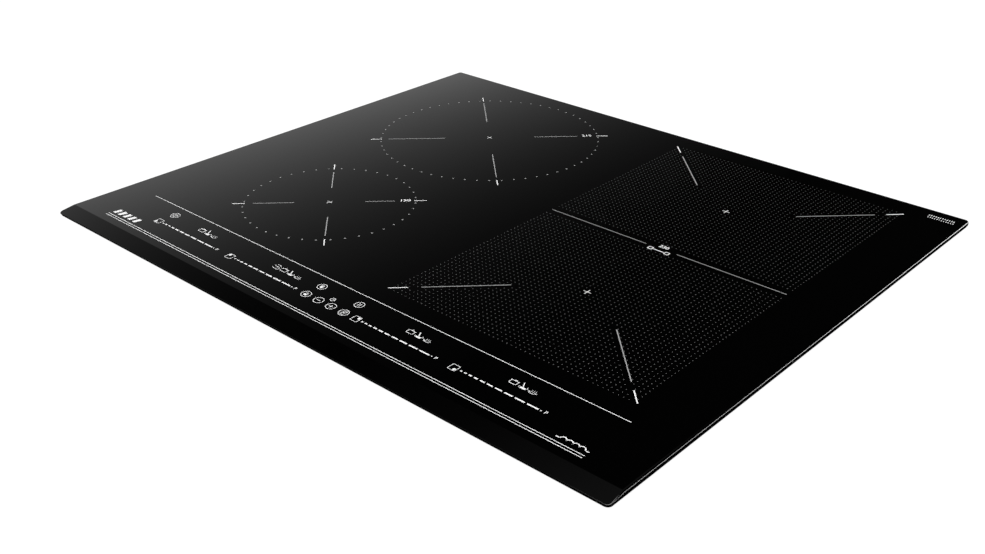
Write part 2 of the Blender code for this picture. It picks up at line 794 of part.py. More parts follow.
def electronics_tray():
    shape = bmesh.new()
    block(shape, -TRAY_HALF_WIDTH, TRAY_HALF_WIDTH, TRAY_FRONT_Y, TRAY_BACK_Y, TRAY_LOW, TRAY_TOP)
    tray = add_object("electronics_tray", shape, black_plastic())
    posts = bmesh.new()
    for spot in board_post_spots():
        prism(posts, circle(POST_RADIUS, 8, spot), TRAY_LOW + 1 * MM, BOARD_LOW - GAP)
    join(tray, posts)
    inlets = bmesh.new()
    for side in (-1, 1):
        outline = circle(FAN_INLET_RADIUS, ROUND_SEGMENTS, (side * MODULE_X, FAN_Y))
        prism(inlets, outline, TRAY_LOW - 1 * MM, TRAY_TOP + 1 * MM)
    cut(tray, inlets)


def fan_housing(name, side):
    shape = bmesh.new()
    prism(shape, rounded_rectangle(FAN_HALF, FAN_HALF, 6 * MM, steps=3), FAN_LOW, FAN_TOP)
    housing = add_object(f"fan_housing_{name}", shape, black_plastic(), (side * MODULE_X, FAN_Y, 0.0))
    hollow = bmesh.new()
    bore = FAN_TOP - FAN_WALL
    ring_profile = ((0.0, FAN_LOW - 1 * MM), (FAN_INLET_RADIUS, FAN_LOW - 1 * MM),
                    (FAN_INLET_RADIUS, FAN_LOW + FAN_WALL), (FAN_CAVITY_RADIUS, FAN_LOW + FAN_WALL),
                    (FAN_CAVITY_RADIUS, bore), (FAN_BOSS_RADIUS, bore),
                    (FAN_BOSS_RADIUS, bore - FAN_BOSS_HEIGHT), (FAN_PIN_RADIUS, bore - FAN_BOSS_HEIGHT),
                    (FAN_PIN_RADIUS, IMPELLER_LOW + 8 * MM), (0.0, IMPELLER_LOW + 8 * MM))
    turned(hollow, ring_profile, ROUND_SEGMENTS)
    cut(housing, hollow)
    outlet = bmesh.new()
    outlet_half = DUCT_HALF_WIDTH - 4 * MM
    block(outlet, -outlet_half, outlet_half, -FAN_HALF - 1 * MM, -FAN_CAVITY_RADIUS + 14 * MM,
          FAN_LOW + 6 * MM, bore - 2 * MM)
    cut(housing, outlet)


def fan_impeller(name, side):
    """Drum of forward-leaning blades under a plate, bored for the motor pin."""
    outline = []
    root = IMPELLER_RADIUS - 6 * MM
    step = 2 * math.pi / IMPELLER_BLADES
    for blade in range(IMPELLER_BLADES):
        for radius, share in ((root, 0.0), (IMPELLER_RADIUS, 0.22), (IMPELLER_RADIUS, 0.42), (root, 0.5)):
            angle = step * (blade + share)
            outline.append((radius * math.cos(angle), radius * math.sin(angle)))
    shape = bmesh.new()
    prism(shape, outline, IMPELLER_LOW, IMPELLER_TOP)
    impeller = add_object(f"fan_impeller_{name}", shape, black_plastic(), (side * MODULE_X, FAN_Y, 0.0))
    bore = bmesh.new()
    pin_clearance = FAN_PIN_RADIUS + 0.5 * MM
    plate_low = IMPELLER_TOP - IMPELLER_PLATE
    below = IMPELLER_LOW - 1 * MM
    above = IMPELLER_TOP + 1 * MM
    profile = ((0.0, below), (IMPELLER_BORE, below), (IMPELLER_BORE, plate_low),
               (pin_clearance, plate_low), (pin_clearance, above), (0.0, above))
    turned(bore, profile, 24)
    cut(impeller, bore)


def heat_sink(name, side):
    """Extruded comb: a base with upright fins."""
    low = BOARD_TOP + GAP
    base_top = low + SINK_BASE
    outline = [(SINK_HALF_WIDTH, low), (SINK_HALF_WIDTH, base_top)]
    pitch = (2 * SINK_HALF_WIDTH - SINK_FIN) / (SINK_FINS - 1)
    for fin in reversed(range(SINK_FINS)):
        left = -SINK_HALF_WIDTH + fin * pitch
        right = left + SINK_FIN
        if fin < SINK_FINS - 1:
            outline.append((right, base_top))
        outline.append((right, SINK_TOP))
        outline.append((left, SINK_TOP))
        if fin > 0:
            outline.append((left, base_top))
    outline.append((-SINK_HALF_WIDTH, low))
    outline.remove((SINK_HALF_WIDTH, base_top))
    shape = bmesh.new()
    prism(shape, outline, SINK_FRONT_Y, SINK_BACK_Y, "Y")
    add_object(f"heat_sink_{name}", shape, aluminium(), (side * MODULE_X, 0.0, 0.0))


def air_duct(name, side):
    low = BOARD_TOP + GAP
    half = DUCT_HALF_WIDTH
    inner = half - DUCT_WALL
    roof = DUCT_TOP - DUCT_WALL
    profile = [(-half, low), (-inner, low), (-inner, roof), (inner, roof), (inner, low), (half, low),
               (half, DUCT_TOP), (-half, DUCT_TOP)]
    shape = bmesh.new()
    prism(shape, profile, DUCT_FRONT_Y, FAN_Y - FAN_HALF - GAP, "Y")
    add_object(f"air_duct_{name}", shape, black_plastic(), (side * MODULE_X, 0.0, 0.0))


def power_modules():
    for name, side in (("left", -1), ("right", 1)):
        board = bmesh.new()
        prism(board, board_outline(mirrored(POWER_BOARD, side)), BOARD_LOW, BOARD_TOP)
        add_object(f"power_board_{name}", board, circuit_board())
        heat_sink(name, side)
        air_duct(name, side)
        fan_housing(name, side)
        fan_impeller(name, side)


def filter_board():
    shape = bmesh.new()
    prism(shape, board_outline(FILTER_BOARD), BOARD_LOW, BOARD_TOP)
    add_object("filter_board", shape, circuit_board())


def terminal_block():
    shape = bmesh.new()
    step_y = TERMINAL_BACK_Y - 10 * MM
    low = BOARD_TOP + GAP
    shelf = TERMINAL_TOP - 8 * MM
    profile = [(TERMINAL_FRONT_Y, low), (TERMINAL_BACK_Y, low), (TERMINAL_BACK_Y, shelf),
               (step_y, shelf), (step_y, TERMINAL_TOP), (TERMINAL_FRONT_Y, TERMINAL_TOP)]
    prism(shape, profile, INLET_X - TERMINAL_HALF_WIDTH, INLET_X + TERMINAL_HALF_WIDTH, "X")
    terminal = add_object("terminal_block", shape, white_plastic())
    wells = bmesh.new()
    pitch = 9.6 * MM
    for way in range(TERMINAL_WAYS):
        x = INLET_X + (way - (TERMINAL_WAYS - 1) / 2) * pitch
        y = (TERMINAL_FRONT_Y + step_y) / 2
        prism(wells, circle(3 * MM, 10, (x, y)), shelf - 1 * MM, TERMINAL_TOP + 1 * MM)
    cut(terminal, wells)


def cable_grommet():
    """Rubber bush in the back wall; its bore is the mains cable's way in."""
    shape = bmesh.new()
    lip = 2.4 * MM
    lip_radius = INLET_HOLE_RADIUS + 2.5 * MM
    profile = (
        (INLET_HOLE_RADIUS, -CASING_SHEET - GAP),
        (INLET_HOLE_RADIUS, GAP),
        (lip_radius, GAP),
        (lip_radius, GAP + lip),
        (INLET_BORE_RADIUS, GAP + lip),
        (INLET_BORE_RADIUS, -CASING_SHEET - GAP - lip),
        (lip_radius, -CASING_SHEET - GAP - lip),
        (lip_radius, -CASING_SHEET - GAP),
    )

    def outline(radius):
        return circle(radius, ROUND_SEGMENTS // 2)

    ring_body(shape, outline, profile)
    location = (INLET_X, CASING_DEPTH / 2, INLET_Z)
    add_object("cable_grommet", shape, black_plastic(), location, (-math.pi / 2, 0.0, 0.0))


# ---------------------------------------------------------------- touch control

def control_housing():
    shape = bmesh.new()
    top = GLASS_UNDERSIDE - GAP
    block(shape, -CONTROL_HALF_WIDTH, CONTROL_HALF_WIDTH, CONTROL_FRONT_Y, CONTROL_BACK_Y, CONTROL_LOW, top)
    housing = add_object("control_housing", shape, black_plastic())
    hollow = bmesh.new()
    inner = CONTROL_HALF_WIDTH - CONTROL_WALL
    block(hollow, -inner, inner, CONTROL_FRONT_Y + CONTROL_WALL, CONTROL_BACK_Y - CONTROL_WALL,
          CONTROL_LOW + CONTROL_WALL, top + 5 * MM)
    cut(housing, hollow)
    slot = bmesh.new()
    slot_half = RIBBON_WIDTH / 2 + 1 * MM
    block(slot, RIBBON_X - slot_half, RIBBON_X + slot_half, CONTROL_BACK_Y - 3 * MM, CONTROL_BACK_Y + 1 * MM,
          CONTROL_LOW + CONTROL_WALL + 1.2 * MM, 47 * MM)
    cut(housing, slot)


def control_board():
    shape = bmesh.new()
    margin = 1.8 * MM
    inner = CONTROL_HALF_WIDTH - CONTROL_WALL - margin
    low_y = CONTROL_FRONT_Y + CONTROL_WALL + margin
    high_y = CONTROL_BACK_Y - CONTROL_WALL - margin
    outline = board_outline((-inner, inner, low_y, high_y))
    prism(shape, outline, CONTROL_BOARD_LOW, CONTROL_BOARD_LOW + BOARD_THICKNESS)
    add_object("control_board", shape, circuit_board())


def light_guide():
    """Diffuser bar over the board, with a channel for each of the four sliders."""
    shape = bmesh.new()
    block(shape, -GUIDE_HALF_WIDTH, GUIDE_HALF_WIDTH, GUIDE_FRONT_Y, GUIDE_BACK_Y, GUIDE_LOW, GUIDE_TOP)
    guide = add_object("light_guide", shape, white_plastic())
    channels = bmesh.new()
    half_slot = 2 * MM
    for x in SLIDER_X:
        half_length = SLIDER_LENGTH / 2
        block(channels, x - half_length, x + half_length, SLIDER_Y - half_slot, SLIDER_Y + half_slot,
              GUIDE_LOW - 1 * MM, GUIDE_TOP + 1 * MM)
    cut(guide, channels)


def bent_route(corners, bend, steps=8):
    """The route with each inner corner eased into a bend that starts and ends a given length from it."""
    points = [corners[0]]
    for before, corner, after in zip(corners, corners[1:], corners[2:]):
        starts = []
        for neighbour in (before, after):
            share = bend / math.dist(corner, neighbour)
            starts.append([c + (n - c) * share for c, n in zip(corner, neighbour)])
        for step in range(steps + 1):
            share = step / steps
            weights = ((1 - share) ** 2, 2 * share * (1 - share), share ** 2)
            pairs = zip(starts[0], corner, starts[1])
            points.append(tuple(sum(w * value for w, value in zip(weights, pair)) for pair in pairs))
    points.append(corners[-1])
    return points


def ribbon_outline(route, thickness):
    """Both edges of a strip that follows a (y, z) route."""
    front = []
    back = []
    for index, (y, z) in enumerate(route):
        before = route[max(index - 1, 0)]
        after = route[min(index + 1, len(route) - 1)]
        run_y = after[0] - before[0]
        run_z = after[1] - before[1]
        length = math.hypot(run_y, run_z)
        shift_y = -run_z / length * thickness / 2
        shift_z = run_y / length * thickness / 2
        front.append((y + shift_y, z + shift_z))
        back.append((y - shift_y, z - shift_z))
    return front + back[::-1]


def ribbon_cable():
    shape = bmesh.new()
    outline = ribbon_outline(bent_route(RIBBON_ROUTE, RIBBON_BEND), RIBBON_THICKNESS)
    prism(shape, outline, RIBBON_X - RIBBON_WIDTH / 2, RIBBON_X + RIBBON_WIDTH / 2, "X")
    add_object("ribbon_cable", shape, sleeve())


def build():
    clear_scene()
    glass_plate()
    worktop_seal()
    casing_tray()
    frame_rails()
    frame_screws()
    hold_down_clamps()
    clamp_screws()
    coils()
    coil_carriers()
    electronics_tray()
    power_modules()
    filter_board()
    terminal_block()
    cable_grommet()
    control_housing()
    control_board()
    light_guide()
    ribbon_cable()


build()
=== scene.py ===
import json
import math

import bmesh
import bpy
from mathutils import Matrix, Vector


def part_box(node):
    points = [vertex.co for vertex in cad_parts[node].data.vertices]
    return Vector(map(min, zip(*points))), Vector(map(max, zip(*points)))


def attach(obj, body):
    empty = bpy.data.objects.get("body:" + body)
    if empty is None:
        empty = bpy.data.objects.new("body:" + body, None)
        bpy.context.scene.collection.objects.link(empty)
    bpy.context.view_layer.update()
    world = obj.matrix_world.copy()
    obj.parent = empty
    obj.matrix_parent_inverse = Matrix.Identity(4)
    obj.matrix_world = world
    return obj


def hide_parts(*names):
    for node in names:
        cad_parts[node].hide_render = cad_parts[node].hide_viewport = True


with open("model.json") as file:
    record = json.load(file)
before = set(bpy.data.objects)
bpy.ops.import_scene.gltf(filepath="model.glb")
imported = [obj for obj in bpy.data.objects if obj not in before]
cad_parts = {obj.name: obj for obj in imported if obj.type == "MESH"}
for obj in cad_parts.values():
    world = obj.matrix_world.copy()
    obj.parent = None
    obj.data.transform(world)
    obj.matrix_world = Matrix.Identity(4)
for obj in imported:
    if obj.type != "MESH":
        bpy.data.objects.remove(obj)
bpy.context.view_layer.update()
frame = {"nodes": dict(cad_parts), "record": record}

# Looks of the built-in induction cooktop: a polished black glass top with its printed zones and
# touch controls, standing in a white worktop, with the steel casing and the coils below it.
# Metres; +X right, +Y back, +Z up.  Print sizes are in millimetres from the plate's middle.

MM = 0.001
BODY = "cooktop"

# Glass
GLASS_LOW, GLASS_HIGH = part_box("glass_plate")
GLASS_SWELL = 0.55 * MM
GLASS_HALF_WIDTH = GLASS_HIGH.x + GLASS_SWELL
GLASS_HALF_DEPTH = GLASS_HIGH.y + GLASS_SWELL
GLASS_TOP = GLASS_HIGH.z
GLASS_CORNER_RADIUS = 3.7 * MM
GLASS_ROUNDING = 1.9 * MM
GLASS_FRONT_ROUNDING = 0.35 * MM
GLASS_BOTTOM_ARRIS = 0.4 * MM
POLISHED_FROM = 24
BEVEL_DEPTH = 15 * MM
BEVEL_DROP = 2.8 * MM
BEVEL_Y = -GLASS_HALF_DEPTH + BEVEL_DEPTH
CORNER_STEPS = 14
SMOOTH_ANGLE = math.radians(35)
CORNERS = ((1, 1), (-1, 1), (-1, -1), (1, -1))
UP = Vector((0, 0, 1))

# Worktop that the cooktop stands in
WORKTOP_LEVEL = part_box("worktop_seal")[0].z
CUTOUT_HALF_WIDTH = 280 * MM
CUTOUT_HALF_DEPTH = 245 * MM
CUTOUT_RADIUS = 8 * MM
FLOOR_HALF = 9.0
WORKTOP_GLOW = 0.94
RIM_SHADE = 0.8 * MM

# Camera, from the middle of the glass
CAMERA_AZIMUTH = math.radians(42.03)
CAMERA_ELEVATION = math.radians(28.01)
CAMERA_DISTANCE = 925 * MM
CAMERA_AIM = Vector((65.7 * MM, -95.2 * MM, 0.0))
CAMERA_LENS = 43.37

# Print heights above the glass, and the whole print's small step towards the front, in millimetres
PRINT_LOW = 0.01
PRINT_HIGH = 0.05
PRINT_STEP_Y = -0.5


# ---- materials

def grey(value):
    return (value, value, value)


def colour_ramp(tree, value, stops):
    """Colour ramp; stops are (position, colour)."""
    node = tree.nodes.new("ShaderNodeValToRGB")
    elements = node.color_ramp.elements
    while len(elements) < len(stops):
        elements.new(0.5)
    for element, (position, colour) in zip(elements, stops):
        element.position = position
        element.color = (*colour, 1.0)
    tree.links.new(value, node.inputs["Fac"])
    return node.outputs["Color"]


def arithmetic(tree, operation, first, second=None):
    """One step of arithmetic on outputs or plain numbers."""
    node = tree.nodes.new("ShaderNodeMath")
    node.operation = operation
    for socket, value in zip(node.inputs, (first, second)):
        if isinstance(value, bpy.types.NodeSocket):
            tree.links.new(value, socket)
        elif value is not None:
            socket.default_value = value
    return node.outputs[0]


class Look:
    """A Principled material and a few shorthands for its procedural nodes."""

    def __init__(self, name, colour, roughness, metallic=0.0):
        self.material = bpy.data.materials.new(name)
        self.material.use_nodes = True
        self.tree = self.material.node_tree
        self.shader = self.tree.nodes["Principled BSDF"]
        self.set("Base Color", (*colour, 1.0))
        self.set("Roughness", roughness)
        self.set("Metallic", metallic)
        self.place = self.tree.nodes.new("ShaderNodeTexCoord").outputs["Object"]

    def set(self, socket, value):
        self.shader.inputs[socket].default_value = value

    def link(self, output, socket):
        self.tree.links.new(output, self.shader.inputs[socket])

    def stretch(self, x, y, z):
        """Object coordinates scaled along each axis."""
        node = self.tree.nodes.new("ShaderNodeMapping")
        node.inputs["Scale"].default_value = (x, y, z)
        self.tree.links.new(self.place, node.inputs["Vector"])
        return node.outputs["Vector"]

    def noise(self, scale, detail=2.0, place=None):
        node = self.tree.nodes.new("ShaderNodeTexNoise")
        node.inputs["Scale"].default_value = scale
        node.inputs["Detail"].default_value = detail
        self.tree.links.new(place or self.place, node.inputs["Vector"])
        return node.outputs["Fac"]

    def cells(self, scale, output="Color"):
        node = self.tree.nodes.new("ShaderNodeTexVoronoi")
        node.inputs["Scale"].default_value = scale
        self.tree.links.new(self.place, node.inputs["Vector"])
        return node.outputs[output]

    def ramp(self, value, stops):
        return colour_ramp(self.tree, value, stops)

    def spread(self, value, low, high, start=0.35, end=0.65):
        """Map a texture value to a range of plain numbers."""
        node = self.tree.nodes.new("ShaderNodeMapRange")
        node.inputs["From Min"].default_value = start
        node.inputs["From Max"].default_value = end
        node.inputs["To Min"].default_value = low
        node.inputs["To Max"].default_value = high
        self.tree.links.new(value, node.inputs["Value"])
        return node.outputs["Result"]

    def maths(self, operation, first, second=None):
        return arithmetic(self.tree, operation, first, second)

    def bump(self, height, distance, strength):
        node = self.tree.nodes.new("ShaderNodeBump")
        node.inputs["Distance"].default_value = distance
        node.inputs["Strength"].default_value = strength
        self.tree.links.new(height, node.inputs["Height"])
        self.link(node.outputs["Normal"], "Normal")


def black_glass():
    """Polished black glass-ceramic: almost mirror-smooth, with faint wiping marks."""
    look = Look("black_glass", grey(0.0002), 0.03)
    wiped = look.noise(9.0, 3.0, look.stretch(1.0, 0.35, 1.0))
    look.link(look.spread(wiped, 0.018, 0.045), "Roughness")
    speck = look.noise(900.0, 1.0)
    look.link(look.ramp(speck, ((0.3, grey(0.0001)), (0.7, grey(0.0003)))), "Base Color")
    return look.material


def ground_glass_edge():
    """Fine-ground edge of the same glass: deep black with little shine."""
    look = Look("ground_glass_edge", grey(0.001), 0.3)
    look.set("Specular IOR Level", 0.0)
    grind = look.noise(2500.0, 2.0)
    look.link(look.spread(grind, 0.22, 0.4), "Roughness")
    look.bump(grind, 0.00001, 0.3)
    return look.material


def ink(name, value):
    """Fired enamel print: matt, a little uneven under a close look."""
    look = Look(name, grey(value), 0.5)
    grain = look.noise(1800.0, 3.0)
    look.link(look.ramp(grain, ((0.35, grey(value * 0.93)), (0.65, grey(value * 1.05)))), "Base Color")
    look.link(look.spread(grain, 0.42, 0.6), "Roughness")
    return look.material


def worktop_white():
    """White sheet that glows evenly right up to the glass's rim, and not below the glass."""
    look = Look("worktop_white", grey(0.06), 0.6)
    look.set("Emission Color", (1.0, 1.0, 1.0, 1.0))
    split = look.tree.nodes.new("ShaderNodeSeparateXYZ")
    look.tree.links.new(look.place, split.inputs[0])
    squares = []
    for axis, half_side in (("X", GLASS_HALF_WIDTH), ("Y", GLASS_HALF_DEPTH)):
        past_corner = look.maths("SUBTRACT", look.maths("ABSOLUTE", split.outputs[axis]),
                                 half_side - RIM_SHADE - GLASS_CORNER_RADIUS)
        squares.append(look.maths("POWER", look.maths("MAXIMUM", past_corner, 0.0), 2.0))
    outside = look.maths("GREATER_THAN", look.maths("ADD", *squares), GLASS_CORNER_RADIUS ** 2)
    look.link(look.maths("MULTIPLY", outside, WORKTOP_GLOW), "Emission Strength")
    mottle = look.noise(3.0, 2.0)
    look.link(look.ramp(mottle, ((0.3, grey(0.057)), (0.7, grey(0.063)))), "Base Color")
    return look.material


def seal_foam():
    look = Look("seal_foam", grey(0.04), 0.9)
    pores = look.noise(1600.0, 4.0)
    look.link(look.ramp(pores, ((0.35, grey(0.022)), (0.65, grey(0.06)))), "Base Color")
    look.bump(pores, 0.0002, 0.6)
    return look.material


def zinc_sheet():
    """Hot-dip galvanised sheet with its flower-like spangle."""
    look = Look("zinc_sheet", grey(0.5), 0.38, 1.0)
    spangle = look.cells(140.0)
    look.link(look.ramp(spangle, ((0.1, (0.44, 0.45, 0.46)), (0.9, (0.58, 0.59, 0.60)))), "Base Color")
    look.link(look.spread(spangle, 0.26, 0.46, 0.0, 1.0), "Roughness")
    look.bump(look.noise(420.0, 3.0), 0.00005, 0.35)
    return look.material


def rolled_aluminium():
    look = Look("rolled_aluminium", grey(0.75), 0.35, 1.0)
    roll = look.noise(60.0, 3.0, look.stretch(12.0, 0.5, 12.0))
    look.link(look.ramp(roll, ((0.3, (0.68, 0.69, 0.70)), (0.7, (0.80, 0.81, 0.82)))), "Base Color")
    look.link(look.spread(roll, 0.28, 0.42), "Roughness")
    return look.material


def plated_steel(name, tint):
    look = Look(name, tint, 0.3, 1.0)
    haze = look.noise(700.0, 3.0)
    dark = tuple(channel * 0.85 for channel in tint)
    look.link(look.ramp(haze, ((0.35, dark), (0.65, tint))), "Base Color")
    look.link(look.spread(haze, 0.22, 0.38), "Roughness")
    return look.material


def lacquered_copper():
    """Stranded winding wire under clear lacquer."""
    look = Look("lacquered_copper", (0.62, 0.27, 0.12), 0.32, 0.9)
    strands = look.noise(900.0, 2.0)
    look.link(look.ramp(strands, ((0.35, (0.42, 0.16, 0.06)), (0.65, (0.72, 0.34, 0.16)))), "Base Color")
    look.bump(strands, 0.0002, 0.7)
    return look.material


def moulding(name, colour, roughness):
    """Spark-textured plastic."""
    look = Look(name, colour, roughness)
    grain = look.noise(1500.0, 3.0)
    dark = tuple(channel * 0.88 for channel in colour)
    look.link(look.ramp(grain, ((0.35, dark), (0.65, colour))), "Base Color")
    look.link(look.spread(grain, roughness - 0.08, roughness + 0.08), "Roughness")
    look.bump(grain, 0.00006, 0.5)
    return look.material


def solder_mask():
    """Green board with the faint relief of its tracks."""
    look = Look("solder_mask", (0.03, 0.17, 0.07), 0.35)
    tracks = look.cells(160.0, "Distance")
    look.link(look.ramp(tracks, ((0.15, (0.05, 0.26, 0.10)), (0.4, (0.02, 0.13, 0.05)))), "Base Color")
    look.bump(tracks, 0.00005, 0.4)
    return look.material


def pressed_mica():
    look = Look("pressed_mica", (0.62, 0.55, 0.42), 0.4)
    flakes = look.cells(420.0)
    look.link(look.ramp(flakes, ((0.1, (0.48, 0.41, 0.29)), (0.9, (0.72, 0.66, 0.52)))), "Base Color")
    look.link(look.spread(flakes, 0.3, 0.6, 0.0, 1.0), "Roughness")
    return look.material


def glass_sleeve():
    """Braided glass-fibre sleeving."""
    look = Look("glass_sleeve", (0.7, 0.68, 0.62), 0.7)
    braid = look.cells(1200.0, "Distance")
    look.link(look.ramp(braid, ((0.1, (0.78, 0.76, 0.70)), (0.6, (0.52, 0.50, 0.44)))), "Base Color")
    look.bump(braid, 0.0003, 0.8)
    return look.material


def bush_rubber():
    look = Look("bush_rubber", grey(0.025), 0.75)
    bloom = look.noise(500.0, 3.0)
    look.link(look.ramp(bloom, ((0.35, grey(0.018)), (0.65, grey(0.04)))), "Base Color")
    look.link(look.spread(bloom, 0.65, 0.85), "Roughness")
    return look.material


LOOKS = {
    "black_glass": black_glass(),
    "ground_edge": ground_glass_edge(),
    "ink_white": ink("ink_white", 0.70),
    "ink_grey": ink("ink_grey", 0.25),
    "ink_dot": ink("ink_dot", 0.085),
    "worktop": worktop_white(),
    "seal_foam": seal_foam(),
    "zinc_steel": zinc_sheet(),
    "bright_screw": plated_steel("bright_screw", (0.66, 0.65, 0.60)),
    "spring_steel": plated_steel("spring_steel", (0.50, 0.50, 0.51)),
    "aluminium": rolled_aluminium(),
    "lacquered_copper": lacquered_copper(),
    "white_plastic": moulding("white_plastic", (0.74, 0.74, 0.71), 0.5),
    "black_plastic": moulding("black_plastic", (0.022, 0.022, 0.023), 0.5),
    "circuit_board": solder_mask(),
    "mica": pressed_mica(),
    "lead_sleeve": glass_sleeve(),
    "black_rubber": bush_rubber(),
    "capacitor_box": moulding("capacitor_box", (0.62, 0.44, 0.09), 0.4),
    "can_sleeve": moulding("can_sleeve", (0.03, 0.06, 0.14), 0.35),
    "core_ferrite": moulding("core_ferrite", (0.055, 0.052, 0.05), 0.6),
}


# ---- mesh helpers

def rounded_rectangle(half_width, half_depth, radius, steps=CORNER_STEPS):
    """Counter-clockwise outline that starts in the right-back corner."""
    points = []
    for quarter, (side_x, side_y) in enumerate(CORNERS):
        for step in range(steps + 1):
            angle = math.pi / 2 * (quarter + step / steps)
            x = side_x * (half_width - radius) + radius * math.cos(angle)
            y = side_y * (half_depth - radius) + radius * math.sin(angle)
            points.append((x, y))
    return points


def bridge(shape, lower, upper):
    """Join two rings of vertices of equal length; return the faces."""
    faces = []
    for index, vertex in enumerate(lower):
        following = (index + 1) % len(lower)
        faces.append(shape.faces.new((vertex, lower[following], upper[following], upper[index])))
    return faces


def block(shape, centre, size, softness):
    """Box with rounded edges."""
    place = Matrix.Translation(centre) @ Matrix.Diagonal((*size, 1.0))
    made = bmesh.ops.create_cube(shape, size=1.0, matrix=place)
    edges = list(dict.fromkeys(edge for vertex in made["verts"] for edge in vertex.link_edges))
    bmesh.ops.bevel(shape, geom=edges, offset=softness, segments=2, profile=0.5, affect="EDGES")


def turned(shape, profile, centre, steps=32):
    """Turn a profile of (radius, height) points about an upright axis, with flat ends."""
    rings = []
    for radius, height in profile:
        ring = arc_points(centre, radius, 0, 360 - 360 / steps, steps)
        rings.append([shape.verts.new((x, y, height)) for x, y in ring])
    for lower, upper in zip(rings, rings[1:]):
        bridge(shape, lower, upper)
    shape.faces.new(rings[0][::-1])
    shape.faces.new(rings[-1])


def tube(shape, points, radius, normal, sides=8, closed=False):
    """Round wire along points that lie in, or near, the plane across a normal."""
    rings = []
    for index, point in enumerate(points):
        before = points[index - 1] if closed or index else point
        after = points[(index + 1) % len(points)] if closed or index < len(points) - 1 else point
        along = (after - before).normalized()
        side = along.cross(normal).normalized() * radius
        rise = side.cross(along)
        ring = []
        for step in range(sides):
            turn = 2 * math.pi * step / sides
            ring.append(shape.verts.new(point + side * math.cos(turn) + rise * math.sin(turn)))
        rings.append(ring)
    for lower, upper in zip(rings, rings[1:]):
        bridge(shape, lower, upper)
    if closed:
        bridge(shape, rings[-1], rings[0])
    else:
        shape.faces.new(rings[0][::-1])
        shape.faces.new(rings[-1])


def add_piece(name, shape, looks, body=BODY, smooth=False):
    """Link a bmesh as a named piece that rides on a body."""
    bmesh.ops.recalc_face_normals(shape, faces=shape.faces)
    mesh = bpy.data.meshes.new(name)
    shape.to_mesh(mesh)
    shape.free()
    if smooth:
        mesh.shade_smooth()
        mesh.set_sharp_from_angle(angle=SMOOTH_ANGLE)
    for look in looks:
        mesh.materials.append(LOOKS[look])
    piece = bpy.data.objects.new(name, mesh)
    bpy.context.scene.collection.objects.link(piece)
    if body:
        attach(piece, body)
    return piece


# ---- glass

def glass_outline(inset):
    """Plate outline, with a point on each side where the front bevel starts."""
    half_width = GLASS_HALF_WIDTH - inset
    points = rounded_rectangle(half_width, GLASS_HALF_DEPTH - inset, GLASS_CORNER_RADIUS - inset)
    points.insert(2 * (CORNER_STEPS + 1), (-half_width, BEVEL_Y))
    points.append((half_width, BEVEL_Y))
    return points


def bevel_share(y):
    """0 behind the bevel's arris, 1 at the front edge."""
    return max(0.0, min(1.0, (BEVEL_Y - y) / BEVEL_DEPTH))


def glass_surface(y):
    return GLASS_TOP - BEVEL_DROP * bevel_share(y)


def rounding_at(y):
    return GLASS_ROUNDING + (GLASS_FRONT_ROUNDING - GLASS_ROUNDING) * bevel_share(y)


def glass_ring(lift):
    """Outline points on the rounded upper edge, where it faces a given angle above the horizon."""
    inset_share = 1 - math.cos(math.radians(lift))
    drop_share = 1 - math.sin(math.radians(lift))
    points = []
    for index, (_, edge_y) in enumerate(glass_outline(0.0)):
        rounding = rounding_at(edge_y)
        x, y = glass_outline(rounding * inset_share)[index]
        points.append((x, y, glass_surface(y) - rounding * drop_share))
    return points


def glass_foot_ring(inset_share, rise_share):
    rise = GLASS_BOTTOM_ARRIS * rise_share
    return [(x, y, GLASS_LOW.z + rise) for x, y in glass_outline(GLASS_BOTTOM_ARRIS * inset_share)]


def glass_top():
    """The plate with its rounded upper edge, polished on top and fine-ground round the sides."""
    shape = bmesh.new()
    foot = ((1.0, 0.0), (0.55, 0.1), (0.1, 0.55), (0.0, 1.0))
    lifts = (0, 8, 16, POLISHED_FROM, 30, 36, 42, 50, 60, 70, 80, 90)
    loops = [[shape.verts.new(point) for point in glass_foot_ring(*shares)] for shares in foot]
    loops += [[shape.verts.new(point) for point in glass_ring(lift)] for lift in lifts]
    ground_loops = len(foot) + lifts.index(POLISHED_FROM)
    for step, (lower, upper) in enumerate(zip(loops, loops[1:])):
        for face in bridge(shape, lower, upper):
            face.smooth = True
            face.material_index = 1 if step < ground_loops else 0
    shape.faces.new(reversed(loops[0]))
    left_break = 2 * (CORNER_STEPS + 1)
    shape.faces.new(loops[-1][:left_break + 1] + [loops[-1][-1]])
    shape.faces.new(loops[-1][left_break:])
    piece = add_piece("glass_top", shape, ("black_glass", "ground_edge"))
    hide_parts("glass_plate")


# ---- print

